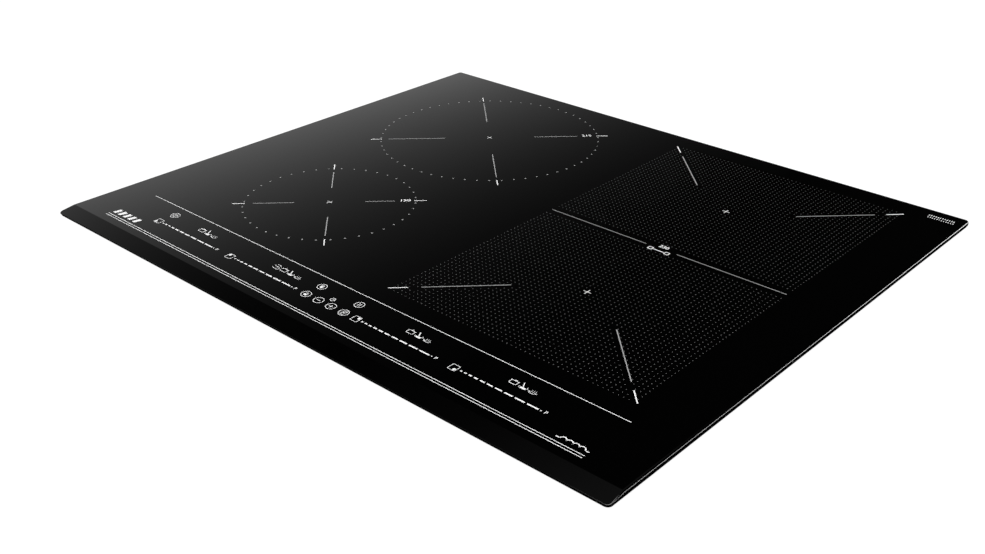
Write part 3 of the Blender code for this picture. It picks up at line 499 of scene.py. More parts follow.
class Print:
    """Flat shapes printed on the glass and gathered into one piece, in millimetres."""

    def __init__(self, centre=(0.0, 0.0)):
        self.shape = bmesh.new()
        self.move_to(centre)

    def move_to(self, centre, turn=0.0):
        """Set where the next shapes' own origin lies, and its turn in degrees."""
        self.centre = centre
        self.cosine = math.cos(math.radians(turn))
        self.sine = math.sin(math.radians(turn))

    def vertex(self, point, height):
        x = self.centre[0] + point[0] * self.cosine - point[1] * self.sine
        y = self.centre[1] + point[0] * self.sine + point[1] * self.cosine
        return self.shape.verts.new((x * MM, (y + PRINT_STEP_Y) * MM, GLASS_TOP + height * MM))

    def ring_of(self, points, height):
        return [self.vertex(point, height) for point in points]

    def fill(self, points):
        """Fill a closed outline."""
        low = self.ring_of(points, PRINT_LOW)
        high = self.ring_of(points, PRINT_HIGH)
        self.shape.faces.new(low[::-1])
        self.shape.faces.new(high)
        bridge(self.shape, low, high)

    def band(self, outer, inner):
        """Fill between two closed outlines with as many points each."""
        rings = [self.ring_of(outer, PRINT_LOW), self.ring_of(outer, PRINT_HIGH),
                 self.ring_of(inner, PRINT_HIGH), self.ring_of(inner, PRINT_LOW)]
        for index, ring in enumerate(rings):
            bridge(self.shape, ring, rings[(index + 1) % len(rings)])

    def path(self, points, width, closed=False):
        """Draw a line of some width through points, with mitred corners."""
        left = []
        right = []
        count = len(points)
        for index, point in enumerate(points):
            before = points[index - 1] if closed or index else None
            after = points[(index + 1) % count] if closed or index < count - 1 else None
            normal = mitre(before, point, after)
            left.append((point[0] + normal[0] * width / 2, point[1] + normal[1] * width / 2))
            right.append((point[0] - normal[0] * width / 2, point[1] - normal[1] * width / 2))
        if closed:
            self.band(left, right)
        else:
            self.fill(left + right[::-1])

    def disc(self, centre, radius, sides=20):
        self.fill(arc_points(centre, radius, 0, 360 - 360 / sides, sides))

    def ring(self, centre, radius, width, sides=48):
        self.path(arc_points(centre, radius, 0, 360 - 360 / sides, sides), width, closed=True)

    def arc(self, centre, radius, start, end, width, steps=16):
        self.path(arc_points(centre, radius, start, end, steps), width)

    def frame_square(self, half, radius, width):
        self.path(rounded_rectangle(half, half, radius, 4), width, closed=True)

    def finish(self, name, look):
        return add_piece(name, self.shape, (look,))


def arc_points(centre, radius, start, end, count):
    """Points from one angle to another, in degrees."""
    points = []
    for index in range(count):
        angle = math.radians(start + (end - start) * index / (count - 1))
        points.append((centre[0] + radius * math.cos(angle), centre[1] + radius * math.sin(angle)))
    return points


def unit(start, end):
    x = end[0] - start[0]
    y = end[1] - start[1]
    length = math.hypot(x, y)
    return x / length, y / length


def mitre(before, point, after):
    """Sideways step at a point of a path, long enough to keep the line's width at a corner."""
    first = unit(before, point) if before else unit(point, after)
    second = unit(point, after) if after else first
    x = -(first[1] + second[1])
    y = first[0] + second[0]
    length = math.hypot(x, y)
    cosine = max(0.4, length / 2)
    return x / length / cosine, y / length / cosine


LONG_LINE = 0.85
TICK = 0.95
CROSS_STROKE = 0.55
STROKE_GAP = 0.02
DIAGONALS = (44.3, 135.7, 224.3, 315.7)


def cross_mark(ink_on, centre, half):
    ink_on.move_to(centre)
    ink_on.path([(-half, 0), (half, 0)], CROSS_STROKE)
    near = CROSS_STROKE / 2 + STROKE_GAP
    ink_on.path([(0, near), (0, half)], CROSS_STROKE)
    ink_on.path([(0, -half), (0, -near)], CROSS_STROKE)


ROUND_ZONES = {
    "left_back": {
        "centre": (-135.3, 124.0), "dots": 60, "dot_radius": 108.3, "first": 0.0,
        "long": (44.6, 100.8), "short_end": 88.0, "tick": (107.3, 118.4), "label": "215", "label_at": 97.6,
    },
    "left_front": {
        "centre": (-135.7, -86.3), "dots": 40, "dot_radius": 76.0, "first": 4.5,
        "long": (31.2, 67.8), "short_end": 57.7, "tick": (74.7, 86.0), "label": "150", "label_at": 66.6,
    },
}
RING_DOT_RADIUS = 0.8
ROUND_CROSS_HALF = 3.0
LABEL_TURN = 45
LABEL_HEIGHT = 4.6
CAPITAL_SHARE = 0.7


def round_zone(name, zone):
    """Dotted ring with four diagonal lines and ticks; the number stands in the right-back one."""
    soft = Print()
    crisp = Print()
    for turn in DIAGONALS:
        start, end = zone["long"]
        if turn == DIAGONALS[0]:
            end = zone["short_end"]
        soft.move_to(zone["centre"], turn)
        soft.path([(start, 0), (end, 0)], LONG_LINE)
        crisp.move_to(zone["centre"], turn)
        crisp.path([(zone["tick"][0], 0), (zone["tick"][1], 0)], TICK)
    step = 360 / zone["dots"]
    for index in range(zone["dots"]):
        soft.move_to(zone["centre"], zone["first"] + index * step)
        soft.disc((zone["dot_radius"], 0), RING_DOT_RADIUS, 12)
    cross_mark(crisp, zone["centre"], ROUND_CROSS_HALF)
    soft.finish(f"print_zone_{name}", "ink_grey")
    crisp.finish(f"print_ticks_{name}", "ink_white")
    angle = math.radians(LABEL_TURN)
    spot = (zone["centre"][0] + zone["label_at"] * math.cos(angle),
            zone["centre"][1] + zone["label_at"] * math.sin(angle))
    number(f"print_number_{name}", zone["label"], spot, LABEL_TURN, LABEL_HEIGHT)


def number(name, text, centre, turn, height, weight=0.06):
    """A printed number or letter from Blender's built-in font, as a mesh."""
    curve = bpy.data.curves.new(name, "FONT")
    curve.body = text
    curve.size = height / CAPITAL_SHARE * MM
    curve.align_x = "CENTER"
    curve.align_y = "CENTER"
    curve.offset = weight * MM
    curve.extrude = (PRINT_HIGH - PRINT_LOW) / 2 * MM
    source = bpy.data.objects.new(name + "_source", curve)
    bpy.context.scene.collection.objects.link(source)
    mesh = bpy.data.meshes.new_from_object(source.evaluated_get(bpy.context.evaluated_depsgraph_get()))
    bpy.data.objects.remove(source)
    mesh.name = name
    mesh.materials.clear()
    mesh.materials.append(LOOKS["ink_white"])
    piece = bpy.data.objects.new(name, mesh)
    middle = (PRINT_LOW + PRINT_HIGH) / 2
    piece.location = (centre[0] * MM, (centre[1] + PRINT_STEP_Y) * MM, GLASS_TOP + middle * MM)
    piece.rotation_euler.z = math.radians(turn)
    bpy.context.scene.collection.objects.link(piece)
    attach(piece, BODY)


FLEX_CENTRE = (135.5, 34.0)
MIDDLE_LINE_Y = 33.6
MIDDLE_LINE = 0.66
FLEX_PITCH = 4.253
FLEX_COLUMNS = 27
FLEX_ROWS = 46
FLEX_CLEAR_ROWS = 1
FLEX_DOT_RADIUS = 0.38
FLEX_CROSS_Y = (-64.4, 131.2)
FLEX_CROSS_CLEAR = 5.0
FLEX_CROSS_HALF = 3.6
FLEX_LINE_OFFSET = 1.5
FLEX_LINE_CLEAR = 2.6
FLEX_LINE_END = 72.0
FLEX_HALF_WIDTH = 117.3
FLEX_HALF_DEPTH = 195.6
FLEX_TICK = (0.0, 10.9)
FLEX_LINE = (18.1, 66.8)
MIDDLE_LINE_NEAR = 15.0
MIDDLE_LINE_FAR = 115.0
FLEX_NUMBER_Y = 37.6
FLEX_NUMBER_HEIGHT = 4.2
SQUARES_Y = 29.6
SQUARES_SPACING = 8.0
SQUARE_HALF = 1.9
SQUARE_STROKE = 0.7
SQUARE_BAR_HALF = 5.2
SQUARE_BAR_STROKE = 0.8


def near_flex_mark(x, y):
    """True where a dot would run into a cross or a corner line."""
    for cross_y in FLEX_CROSS_Y:
        if math.hypot(x - FLEX_CENTRE[0], y - cross_y) < FLEX_CROSS_CLEAR:
            return True
    across = FLEX_COLUMNS * FLEX_PITCH + FLEX_LINE_OFFSET - abs(x - FLEX_CENTRE[0])
    along = FLEX_ROWS * FLEX_PITCH - abs(y - FLEX_CENTRE[1])
    return abs(across - along) < FLEX_LINE_CLEAR and across < FLEX_LINE_END


def flex_dots():
    field = Print()
    for column in range(-FLEX_COLUMNS, FLEX_COLUMNS + 1):
        for row in range(-FLEX_ROWS, FLEX_ROWS + 1):
            if abs(row) <= FLEX_CLEAR_ROWS:
                continue
            x = FLEX_CENTRE[0] + column * FLEX_PITCH
            y = FLEX_CENTRE[1] + row * FLEX_PITCH
            if not near_flex_mark(x, y):
                field.disc((x, y), FLEX_DOT_RADIUS, 8)
    field.finish("print_flex_dots", "ink_dot")


def flex_point(side_x, side_y, inset):
    """Point on the diagonal that runs inwards from a corner of the flexible zone."""
    return (FLEX_CENTRE[0] + side_x * (FLEX_HALF_WIDTH - inset),
            FLEX_CENTRE[1] + side_y * (FLEX_HALF_DEPTH - inset))


def flex_zone():
    """Corner ticks and lines, the line between the halves, and the two centre crosses."""
    soft = Print()
    crisp = Print()
    for side_x in (-1, 1):
        for side_y in (-1, 1):
            crisp.path([flex_point(side_x, side_y, inset) for inset in FLEX_TICK], TICK)
            soft.path([flex_point(side_x, side_y, inset) for inset in FLEX_LINE], LONG_LINE)
    for side_x in (-1, 1):
        near = FLEX_CENTRE[0] + side_x * MIDDLE_LINE_NEAR
        far = FLEX_CENTRE[0] + side_x * MIDDLE_LINE_FAR
        soft.path([(near, MIDDLE_LINE_Y), (far, MIDDLE_LINE_Y)], MIDDLE_LINE)
    for y in FLEX_CROSS_Y:
        cross_mark(crisp, (FLEX_CENTRE[0], y), FLEX_CROSS_HALF)
    linked_squares(crisp, (FLEX_CENTRE[0], SQUARES_Y))
    soft.finish("print_flex_lines", "ink_grey")
    crisp.finish("print_flex_ticks", "ink_white")
    number("print_number_flex", "230", (FLEX_CENTRE[0], FLEX_NUMBER_Y), 0, FLEX_NUMBER_HEIGHT)


def linked_squares(ink_on, centre):
    """Two zones joined by a bar: the sign for cooking across both halves."""
    for side in (-1, 1):
        ink_on.move_to((centre[0] + side * SQUARES_SPACING, centre[1]))
        ink_on.frame_square(SQUARE_HALF, 0.5, SQUARE_STROKE)
    ink_on.move_to(centre)
    ink_on.path([(-SQUARE_BAR_HALF, 0), (SQUARE_BAR_HALF, 0)], SQUARE_BAR_STROKE)


# ---- touch controls

CONTROL_LEFT = -261.5
CONTROL_RIGHT = 262.3
CONTROL_LINE_Y = -181.5
DOUBLE_LINE_Y = (-229.2, -231.8)
LINE_WIDTH = 0.54
KEY_Y = -209.8
UPPER_KEY_Y = -194.1
PAN_Y = -196.3
SLIDER_STARTS = (-208.9, -109.7, 40.8, 139.7)
SLIDER_CORNERS = ((-1, -1), (-1, 1), (1, 1), (1, -1))
PAN_X = (-162.7, -59.1, 87.2, 185.3)
SIGN_STROKE = 0.5
DASHES = 10
FIRST_DASH = 0.27
DASH_GAP = 2.05
DASH_HEIGHT = 1.3
END_DOT = 71.8
END_DOT_RADIUS = 0.6
BOOST_LETTER = 75.7
BOOST_HEIGHT = 3.2
BOOST_WEIGHT = 0.02
ZONE_SQUARE = -5.65
ZONE_SQUARE_HALF = 3.35
ZONE_SQUARE_STROKE = 0.45
ZONE_DOT_SHIFT = 1.65
ZONE_DOT_RADIUS = 1.25
KEY_RADIUS = 4.15
KEY_STROKE = 0.5


def control_lines():
    lines = Print()
    for y in (CONTROL_LINE_Y, *DOUBLE_LINE_Y):
        lines.path([(CONTROL_LEFT, y), (CONTROL_RIGHT, y)], LINE_WIDTH)
    lines.finish("print_control_lines", "ink_white")


def dash_length(index):
    """Dashes grow faster towards the slider's high end."""
    return 1.65 + 0.45 * index + 0.05 * index ** 2


def slider(index, start, corner):
    """Row of growing dashes, with the zone's square before it and a boost letter behind."""
    marks = Print()
    x = start + FIRST_DASH
    for dash in range(DASHES):
        end = x + dash_length(dash)
        marks.path([(x, KEY_Y), (end, KEY_Y)], DASH_HEIGHT)
        x = end + DASH_GAP
    marks.disc((start + END_DOT, KEY_Y), END_DOT_RADIUS, 16)
    marks.move_to((start + ZONE_SQUARE, KEY_Y))
    marks.frame_square(ZONE_SQUARE_HALF, 0.9, ZONE_SQUARE_STROKE)
    marks.disc((corner[0] * ZONE_DOT_SHIFT, corner[1] * ZONE_DOT_SHIFT), ZONE_DOT_RADIUS, 24)
    marks.finish(f"print_slider_{index}", "ink_white")
    number(f"print_boost_{index}", "P", (start + BOOST_LETTER, KEY_Y), 0, BOOST_HEIGHT, BOOST_WEIGHT)


def pot(marks):
    """Pot from the side, with its lid's rim standing out."""
    marks.path(rounded_rectangle(3.1, 2.05, 1.0, 3), SIGN_STROKE, True)
    marks.path([(-3.8, 1.9), (-2.9, 2.1)], SIGN_STROKE)
    marks.path([(2.9, 2.1), (3.8, 1.9)], SIGN_STROKE)
    marks.path([(-1.2, 2.4), (0, 3.1), (1.2, 2.4)], SIGN_STROKE)


def filled_bowl(marks):
    """A full, flat bowl with a ladle standing in it."""
    marks.fill([(-2.2, -0.9), (-1.7, -2.6), (2.3, -2.6), (3.0, -0.5)])
    marks.path([(-3.2, -0.4), (-2.8, -2.3)], SIGN_STROKE)
    marks.path([(-2.8, 4.2), (-1.6, 1.9), (-0.3, -0.4)], 0.75)


def wave(marks):
    """A handle-like wave that runs down to the right."""
    points = []
    for step in range(13):
        x = -2.0 + 4.0 * step / 12
        points.append((x, -0.85 - 0.75 * x + 0.45 * math.sin(x * 2.2)))
    marks.path(points, SIGN_STROKE * 0.7)


def steaming_bowl(marks):
    points = [(2.9 * math.cos(angle), -0.7 + 2.0 * math.sin(angle))
              for angle in (math.pi * (1 + step / 12) for step in range(13))]
    marks.path(points, SIGN_STROKE * 0.8)
    for x in (-1.6, 0.0, 1.6):
        marks.path([(x - 0.3, 1.2), (x, -0.2), (x - 0.2, -1.5)], 0.3)


def stacked_rounds(marks):
    """Three bent rings on top of each other."""
    marks.path([(-2.3, 3.0), (0.6, 3.6), (3.0, 1.6)], SIGN_STROKE)
    marks.path([(-3.8, 1.2), (-0.6, 0.6), (2.8, 0.4)], SIGN_STROKE)
    marks.path([(-3.5, -1.4), (-0.9, -2.6), (3.3, -2.8), (3.4, 0.2)], SIGN_STROKE)


PAN_SIGNS = ((-8.9, pot), (0.0, filled_bowl), (4.6, wave), (9.0, steaming_bowl))
EXTRA_SIGN = (-13.4, stacked_rounds)
EXTRA_SHIFT = 4.1


def cooking_functions(index, centre_x, with_extra):
    """Row of small pan signs above a slider."""
    marks = Print()
    signs = PAN_SIGNS
    if with_extra:
        signs = [(offset + EXTRA_SHIFT, sign) for offset, sign in PAN_SIGNS]
        signs.append(EXTRA_SIGN)
    for offset, sign in signs:
        marks.move_to((centre_x + offset, PAN_Y))
        sign(marks)
    marks.finish(f"print_functions_{index}", "ink_white")


def power_sign(marks):
    marks.arc((0, -0.2), 2.0, 125, 415, 0.55, 24)
    marks.path([(0, 0.1), (0, 2.5)], 0.6)


def padlock(marks):
    marks.fill([(-1.6, -2.0), (1.6, -2.0), (1.6, 0.1), (-1.6, 0.1)])
    marks.path([(-1.0, 0.15), *arc_points((0, 0.9), 1.0, 180, 0, 10), (1.0, 0.15)], 0.45)


def minus(marks):
    marks.path([(-2.1, 0), (2.1, 0)], 0.5)


def plus(marks):
    minus(marks)
    marks.path([(0, 0.27), (0, 2.1)], 0.55)
    marks.path([(0, -2.1), (0, -0.27)], 0.55)


def bridge_sign(marks):
    """Two zones, one behind the other, joined."""
    for side in (-1, 1):
        marks.path([(x, y + side * 1.5) for x, y in rounded_rectangle(1.5, 1.05, 0.3, 3)], 0.42, True)
    marks.path([(0, -0.2), (0, 0.2)], 0.5)


def pause_sign(marks):
    for x in (-0.9, 0.9):
        marks.path([(x, -1.9), (x, 1.9)], 0.55)


def raised_hand(marks):
    """A palm with three fingers: stops the cooking and keeps the settings."""
    marks.fill([(-1.5, 0.2), (-1.1, -2.0), (0.9, -2.2), (1.5, -0.8), (1.2, 0.4)])
    marks.path([(-1.1, 0.1), (-1.5, 1.9)], 0.6)
    marks.path([(-0.1, 0.2), (-0.2, 2.5)], 0.6)
    marks.path([(0.9, 0.3), (1.2, 1.9)], 0.6)


def clock_hands(marks):
    marks.path([(0, 1.1), (0, 0), (0.9, 0)], 0.4)


KEYS = (
    ("power", (-213.3, UPPER_KEY_Y), 4.0, power_sign),
    ("stop_and_keep", (-20.8, UPPER_KEY_Y), 3.95, raised_hand),
    ("pause", (21.6, UPPER_KEY_Y), 3.95, pause_sign),
    ("timer", (0.8, -202.0), 2.1, clock_hands),
    ("lock", (-21.0, KEY_Y), KEY_RADIUS, padlock),
    ("minus", (-6.7, KEY_Y), KEY_RADIUS, minus),
    ("plus", (7.4, KEY_Y), KEY_RADIUS, plus),
    ("bridge", (21.6, KEY_Y), KEY_RADIUS, bridge_sign),
)


def touch_key(name, centre, radius, sign):
    marks = Print(centre)
    marks.ring((0, 0), radius, KEY_STROKE)
    sign(marks)
    marks.finish(f"print_key_{name}", "ink_white")


def generic_mark():
    """Five slanted bars: a plain mark at the left end of the control strip."""
    marks = Print((-243.3, -222.3))
    pitch, width, lean, half_height = 7.2, 3.7, 1.5, 3.5
    for index in range(5):
        left = -17.0 + index * pitch
        marks.fill([(left, -half_height), (left + width, -half_height),
                    (left + width + lean, half_height), (left + lean, half_height)])
    marks.finish("print_generic_mark", "ink_white")


def coil_sign():
    """Winding symbol at the right end of the control strip."""
    marks = Print((249.0, -224.6))
    loop_radius = 2.5
    stroke = 0.8
    for index in range(4):
        marks.arc((2 * loop_radius * (index - 1.5), 0), loop_radius, 180, 0, stroke, 12)
    for side in (-1, 1):
        marks.path([(side * 13.2, 0), (side * 10.4, 0)], stroke)
    marks.finish("print_coil_sign", "ink_white")


def corner_bars():
    """Two rows of short strokes in the right-back corner."""
    marks = Print((281.0, 240.2))
    pitch = 2.0
    for first, y, height in ((-11.0, 2.6, 2.2), (-10.5, -1.7, 1.5)):
        for index in range(12):
            x = first + index * pitch
            marks.path([(x, y - height / 2), (x, y + height / 2)], 0.8)
    marks.finish("print_corner_bars", "ink_white")


def printed_design():
    for name, zone in ROUND_ZONES.items():
        round_zone(name, zone)
    flex_dots()
    flex_zone()
    control_lines()
    for index, (start, corner) in enumerate(zip(SLIDER_STARTS, SLIDER_CORNERS), 1):
        slider(index, start, corner)
        cooking_functions(index, PAN_X[index - 1], index == 2)
    for key in KEYS:
        touch_key(*key)
    generic_mark()
    coil_sign()
    corner_bars()


# ---- coils

WIRE_RADIUS = 1.95 * MM
WIRE_PITCH = 4.15 * MM
ROUND_ZONE_NAMES = ("left_back", "left_front")
FLEX_CORNER = 30 * MM
WINDING_SHARE = 0.78
TIGHTEST_BEND = 5 * MM
SHORTEST_STEP = 0.1 * MM


def spiral(centre, half_width, half_depth, corner, band):
    """Points of a flat winding, from its outside to its inside."""
    points = []
    for turn in range(int(band / WIRE_PITCH)):
        for quarter, (side_x, side_y) in enumerate(CORNERS):
            for step in range(CORNER_STEPS + 1):
                share = (quarter + step / CORNER_STEPS) / 4
                inset = WIRE_RADIUS + WIRE_PITCH * (turn + share)
                bend = max(corner - inset, TIGHTEST_BEND)
                x = centre.x + side_x * (half_width - inset - bend) + bend * math.cos(2 * math.pi * share)
                y = centre.y + side_y * (half_depth - inset - bend) + bend * math.sin(2 * math.pi * share)
                point = Vector((x, y, centre.z))
                if not points or (point - points[-1]).length > SHORTEST_STEP:
                    points.append(point)
    return points


def wound_coil(zone):
    """Spiral of stranded wire in place of the solid ring."""
    node = f"coil_winding_{zone}"
    low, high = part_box(node)
    centre = (low + high) / 2
    half_width, half_depth, _ = (high - low) / 2
    corner = half_width if zone in ROUND_ZONE_NAMES else FLEX_CORNER
    band = min(half_width, half_depth) * WINDING_SHARE
    shape = bmesh.new()
    points = spiral(centre, half_width, half_depth, corner, band)
    tube(shape, points, WIRE_RADIUS, UP)
    piece = add_piece(f"wire_spiral_{zone}", shape, ("lacquered_copper",), smooth=True)
    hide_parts(node)


# ---- fans

BLADES = 32
BLADE_THICKNESS = 0.9 * MM
BLADE_INNER_RADIUS = 26.5 * MM
BLADE_SWEEP = 0.16
HUB_RADIUS = 12 * MM
PIN_CLEARANCE = 3 * MM
PIN_DEPTH = 7 * MM
SHROUD_WIDTH = 2.5 * MM
SHROUD_HEIGHT = 1.5 * MM
WHEEL_PLATE = 1.6 * MM
JOIN_GAP = 0.02 * MM


def blade(shape, centre, turn, outer_radius, low, high):
    """Thin curved blade, from the inner to the outer rim."""
    front = []
    back = []
    for step in range(6):
        share = step / 5
        radius = BLADE_INNER_RADIUS + (outer_radius - BLADE_INNER_RADIUS) * share
        angle = turn + BLADE_SWEEP * share ** 2
        half_angle = BLADE_THICKNESS / 2 / radius
        front.append((radius, angle + half_angle))
        back.append((radius, angle - half_angle))
    outline = [(centre.x + radius * math.cos(angle), centre.y + radius * math.sin(angle))
               for radius, angle in front + back[::-1]]
    rings = [[shape.verts.new((x, y, level)) for x, y in outline] for level in (low, high)]
    bridge(shape, *rings)
    shape.faces.new(rings[0][::-1])
    shape.faces.new(rings[1])


def ring_solid(shape, centre, inner, outer, low, high, steps=64):
    """Flat ring."""
    loops = []
    for radius, level in ((outer, low), (outer, high), (inner, high), (inner, low)):
        ring = arc_points(centre, radius, 0, 360 - 360 / steps, steps)
        loops.append([shape.verts.new((x, y, level)) for x, y in ring])
    for index, loop in enumerate(loops):
        bridge(shape, loop, loops[(index + 1) % len(loops)])


def turbine(side):
    """Fan wheel: hub and plate with thin curved blades, held by a shroud ring below."""
    node = f"fan_impeller_{side}"
    low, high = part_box(node)
    centre = (low + high) / 2
    radius = (high.x - low.x) / 2
    plate_low = high.z - WHEEL_PLATE
    shape = bmesh.new()
    ring_solid(shape, centre, PIN_CLEARANCE, radius, plate_low, high.z)
    ring_solid(shape, centre, radius - SHROUD_WIDTH, radius, low.z, low.z + SHROUD_HEIGHT)
    for index in range(BLADES):
        blade(shape, centre, 2 * math.pi * index / BLADES, radius - 0.2 * MM,
              low.z + SHROUD_HEIGHT + JOIN_GAP, plate_low - JOIN_GAP)
    hub = ((HUB_RADIUS - 3 * MM, low.z + 2.5 * MM), (HUB_RADIUS - 1 * MM, low.z + 3.2 * MM),
           (HUB_RADIUS, low.z + 5 * MM), (HUB_RADIUS, plate_low - JOIN_GAP),
           (PIN_CLEARANCE, plate_low - JOIN_GAP), (PIN_CLEARANCE, low.z + PIN_DEPTH))
    turned(shape, hub, centre)
    piece = add_piece(f"turbine_{side}", shape, ("black_plastic",), f"impeller_{side}", True)
    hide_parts(node)


# ---- parts on the boards

BOARD_GAP = 0.05 * MM

# Kinds of part: the look and its slot
CAPACITOR = ("capacitor_box", "white_plastic")
MOULDED = ("black_plastic", "black_plastic")
CHIP = ("core_ferrite", "black_plastic")
LAMP = ("white_plastic", "white_plastic")


def above(node):
    """Height at which parts stand on a board."""
    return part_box(node)[1].z + BOARD_GAP


def boxes(name, spots, size, kind, level, softness=0.5 * MM):
    """Equal rounded boxes that stand on a board."""
    look, slot = kind
    shape = bmesh.new()
    for x, y in spots:
        centre = (x * MM, y * MM, level + size[2] * MM / 2)
        block(shape, centre, [side * MM for side in size], softness)
    add_piece(name, shape, (look,), smooth=True)


def cans(name, spots, radius, height, level):
    """Electrolytic capacitors with a crimped neck."""
    shape = bmesh.new()
    for spot in spots:
        profile = ((0.9, 0.0), (1.0, 0.04), (1.0, 0.12), (0.93, 0.15), (1.0, 0.19), (1.0, 0.96), (0.92, 1.0))
        points = [(radius * MM * across, level + height * MM * up) for across, up in profile]
        turned(shape, points, (spot[0] * MM, spot[1] * MM), 24)
    add_piece(name, shape, ("can_sleeve",), smooth=True)


def choke(name, spot, level):
    """Ring core that lies on the board, with its wire wound round it."""
    core_radius = 10.5 * MM
    core_thickness = 4 * MM
    wire = 0.8 * MM
    middle = Vector((spot[0] * MM, spot[1] * MM, level + core_thickness + 2.5 * wire))
    core = bmesh.new()
    circle = [middle + Vector((x, y, 0.0)) for x, y in arc_points((0, 0), core_radius, 0, 352.5, 48)]
    tube(core, circle, core_thickness, UP, 12, closed=True)
    add_piece(f"choke_core_{name}", core, ("core_ferrite",), smooth=True)
    winding = bmesh.new()
    for index in range(22):
        turn = math.radians(25 + index * 310 / 21)
        outward = Vector((math.cos(turn), math.sin(turn), 0.0))
        loop = []
        for x, y in arc_points((0, 0), core_thickness + wire * 1.05, 0, 337.5, 16):
            loop.append(middle + outward * (core_radius + x) + Vector((0, 0, y)))
        tube(winding, loop, wire, outward.cross(UP), 8, closed=True)
    add_piece(f"choke_wire_{name}", winding, ("lacquered_copper",), smooth=True)


def socket(name, spot, half_width, half_depth, height, level):
    """Open-topped plug socket."""
    shape = bmesh.new()
    wall = 0.9 * MM
    middle = (spot[0] * MM, spot[1] * MM)
    loops = []
    for inset, rise in ((0, 0), (0, height * MM), (wall, height * MM), (wall, 1.5 * MM)):
        outline = rounded_rectangle(half_width * MM - inset, half_depth * MM - inset, 1.2 * MM - inset, 4)
        loops.append([shape.verts.new((middle[0] + x, middle[1] + y, level + rise)) for x, y in outline])
    for lower, upper in zip(loops, loops[1:]):
        bridge(shape, lower, upper)
    shape.faces.new(loops[0][::-1])
    shape.faces.new(loops[-1])
    add_piece(name, shape, ("white_plastic",), smooth=True)


def power_board_parts(side_name, side):
    """Parts of one power module, in columns from the outside in."""
    level = above(f"power_board_{side_name}")
    outer, middle, inner = side * 222, side * 184, side * 148
    capacitors = [(outer, -132 + 22 * index) for index in range(4)]
    boxes(f"resonance_capacitors_{side_name}", capacitors, (30, 14, 20), CAPACITOR, level)
    boxes(f"link_capacitor_{side_name}", [(outer, -41)], (30, 18, 19), CAPACITOR, level)
    boxes(f"relay_{side_name}", [(middle, -46)], (19, 15, 15), MOULDED, level)
    boxes(f"rectifier_{side_name}", [(inner + side * 2, -128)], (29, 4, 18), MOULDED, level)
    cans(f"smoothing_cans_{side_name}", [(inner, -62 + 14 * index) for index in range(3)], 5, 17, level)
    for index in range(2):
        choke(f"{side_name}_{index + 1}", (middle, -126 + 40 * index), level)
    socket(f"fan_socket_{side_name}", (side * 214, 0), 3.5, 8, 8, level)
    chips = [(side * (140 + 5 * column), -116 + 4.5 * row) for row in range(8) for column in range(5)]
    boxes(f"small_parts_{side_name}", chips, (2, 1.25, 0.7), CHIP, level, 0.12 * MM)


def filter_board_parts():
    level = above("filter_board")
    boxes("filter_capacitors", [(42, 148 + 16 * index) for index in range(3)], (27, 11, 18), CAPACITOR, level)
    choke("filter_1", (82, 154), level)
    boxes("fuse_holder", [(88, 180)], (24, 7, 9), MOULDED, level)
    socket("ribbon_socket", (60, 85), 11, 3.5, 7, level)


SPRING_RADIUS = 3.0
SPRING_WIRE = 0.25 * MM


def key_springs():
    """Sprung contacts from the control board up to the glass, under the keys of the upper row."""
    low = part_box("control_board")[1].z + 0.3 * MM
    high = GLASS_LOW.z - 0.6 * MM
    steps_each_turn = 16
    steps = 6 * steps_each_turn
    shape = bmesh.new()
    for _, (x, y), _, _ in KEYS[:3]:
        coil = []
        for step in range(steps + 1):
            angle = 2 * math.pi * step / steps_each_turn
            place = Vector((x + SPRING_RADIUS * math.cos(angle), y + SPRING_RADIUS * math.sin(angle), 0)) * MM
            coil.append(place + UP * (low + (high - low) * step / steps))
        tube(shape, coil, SPRING_WIRE, UP, 6)
    add_piece("key_springs", shape, ("spring_steel",), smooth=True)


def control_board_parts():
    level = above("control_board")
    lamps = [(start + 3 + 7 * index, KEY_Y) for start in SLIDER_STARTS for index in range(DASHES)]
    boxes("slider_lamps", lamps, (1.6, 0.8, 0.8), LAMP, level, 0.1 * MM)
    boxes("controller_chips", [(-110, -190), (110, -190)], (10, 10, 1.4), MOULDED, level, 0.15 * MM)
    key_springs()


def inner_parts():
    for zone in ("left_back", "left_front", "right_back", "right_front"):
        wound_coil(zone)
    for side_name, side in (("left", -1), ("right", 1)):
        turbine(side_name)
        power_board_parts(side_name, side)
    filter_board_parts()
    control_board_parts()


# ---- finishes on the CAD nodes

def dress_nodes():
    slots = {entry["node"]: entry["material_slot"] for entry in frame["record"]["subparts"]}
    for name, node in frame["nodes"].items():
        node.data.materials.clear()
        node.data.materials.append(LOOKS[slots[name]])


# ---- stage, light and camera

def worktop():
    """White worktop with the cooktop's cut-out."""
    shape = bmesh.new()
    outer = rounded_rectangle(FLOOR_HALF, FLOOR_HALF, FLOOR_HALF / 2)
    inner = rounded_rectangle(CUTOUT_HALF_WIDTH, CUTOUT_HALF_DEPTH, CUTOUT_RADIUS)
    thickness = 38 * MM
    rings = []
    for outline, depth in ((outer, 0.0), (inner, 0.0), (inner, thickness)):
        rings.append([shape.verts.new((x, y, WORKTOP_LEVEL - depth)) for x, y in outline])
    for lower, upper in zip(rings, rings[1:]):
        bridge(shape, lower, upper)
    add_piece("worktop", shape, ("worktop",), body=None)


def area_light(name, place, aim, width, height, radiance):
    """Rectangular light of a given radiance that the camera itself doesn't see."""
    light = bpy.data.lights.new(name, "AREA")
    light.shape = "RECTANGLE"
    light.size = width
    light.size_y = height
    light.energy = radiance * math.pi * width * height
    item = bpy.data.objects.new(name, light)
    item.location = place
    item.rotation_euler = (Vector(aim) - Vector(place)).to_track_quat("-Z", "Y").to_euler()
    item.visible_camera = False
    bpy.context.scene.collection.objects.link(item)
    return light


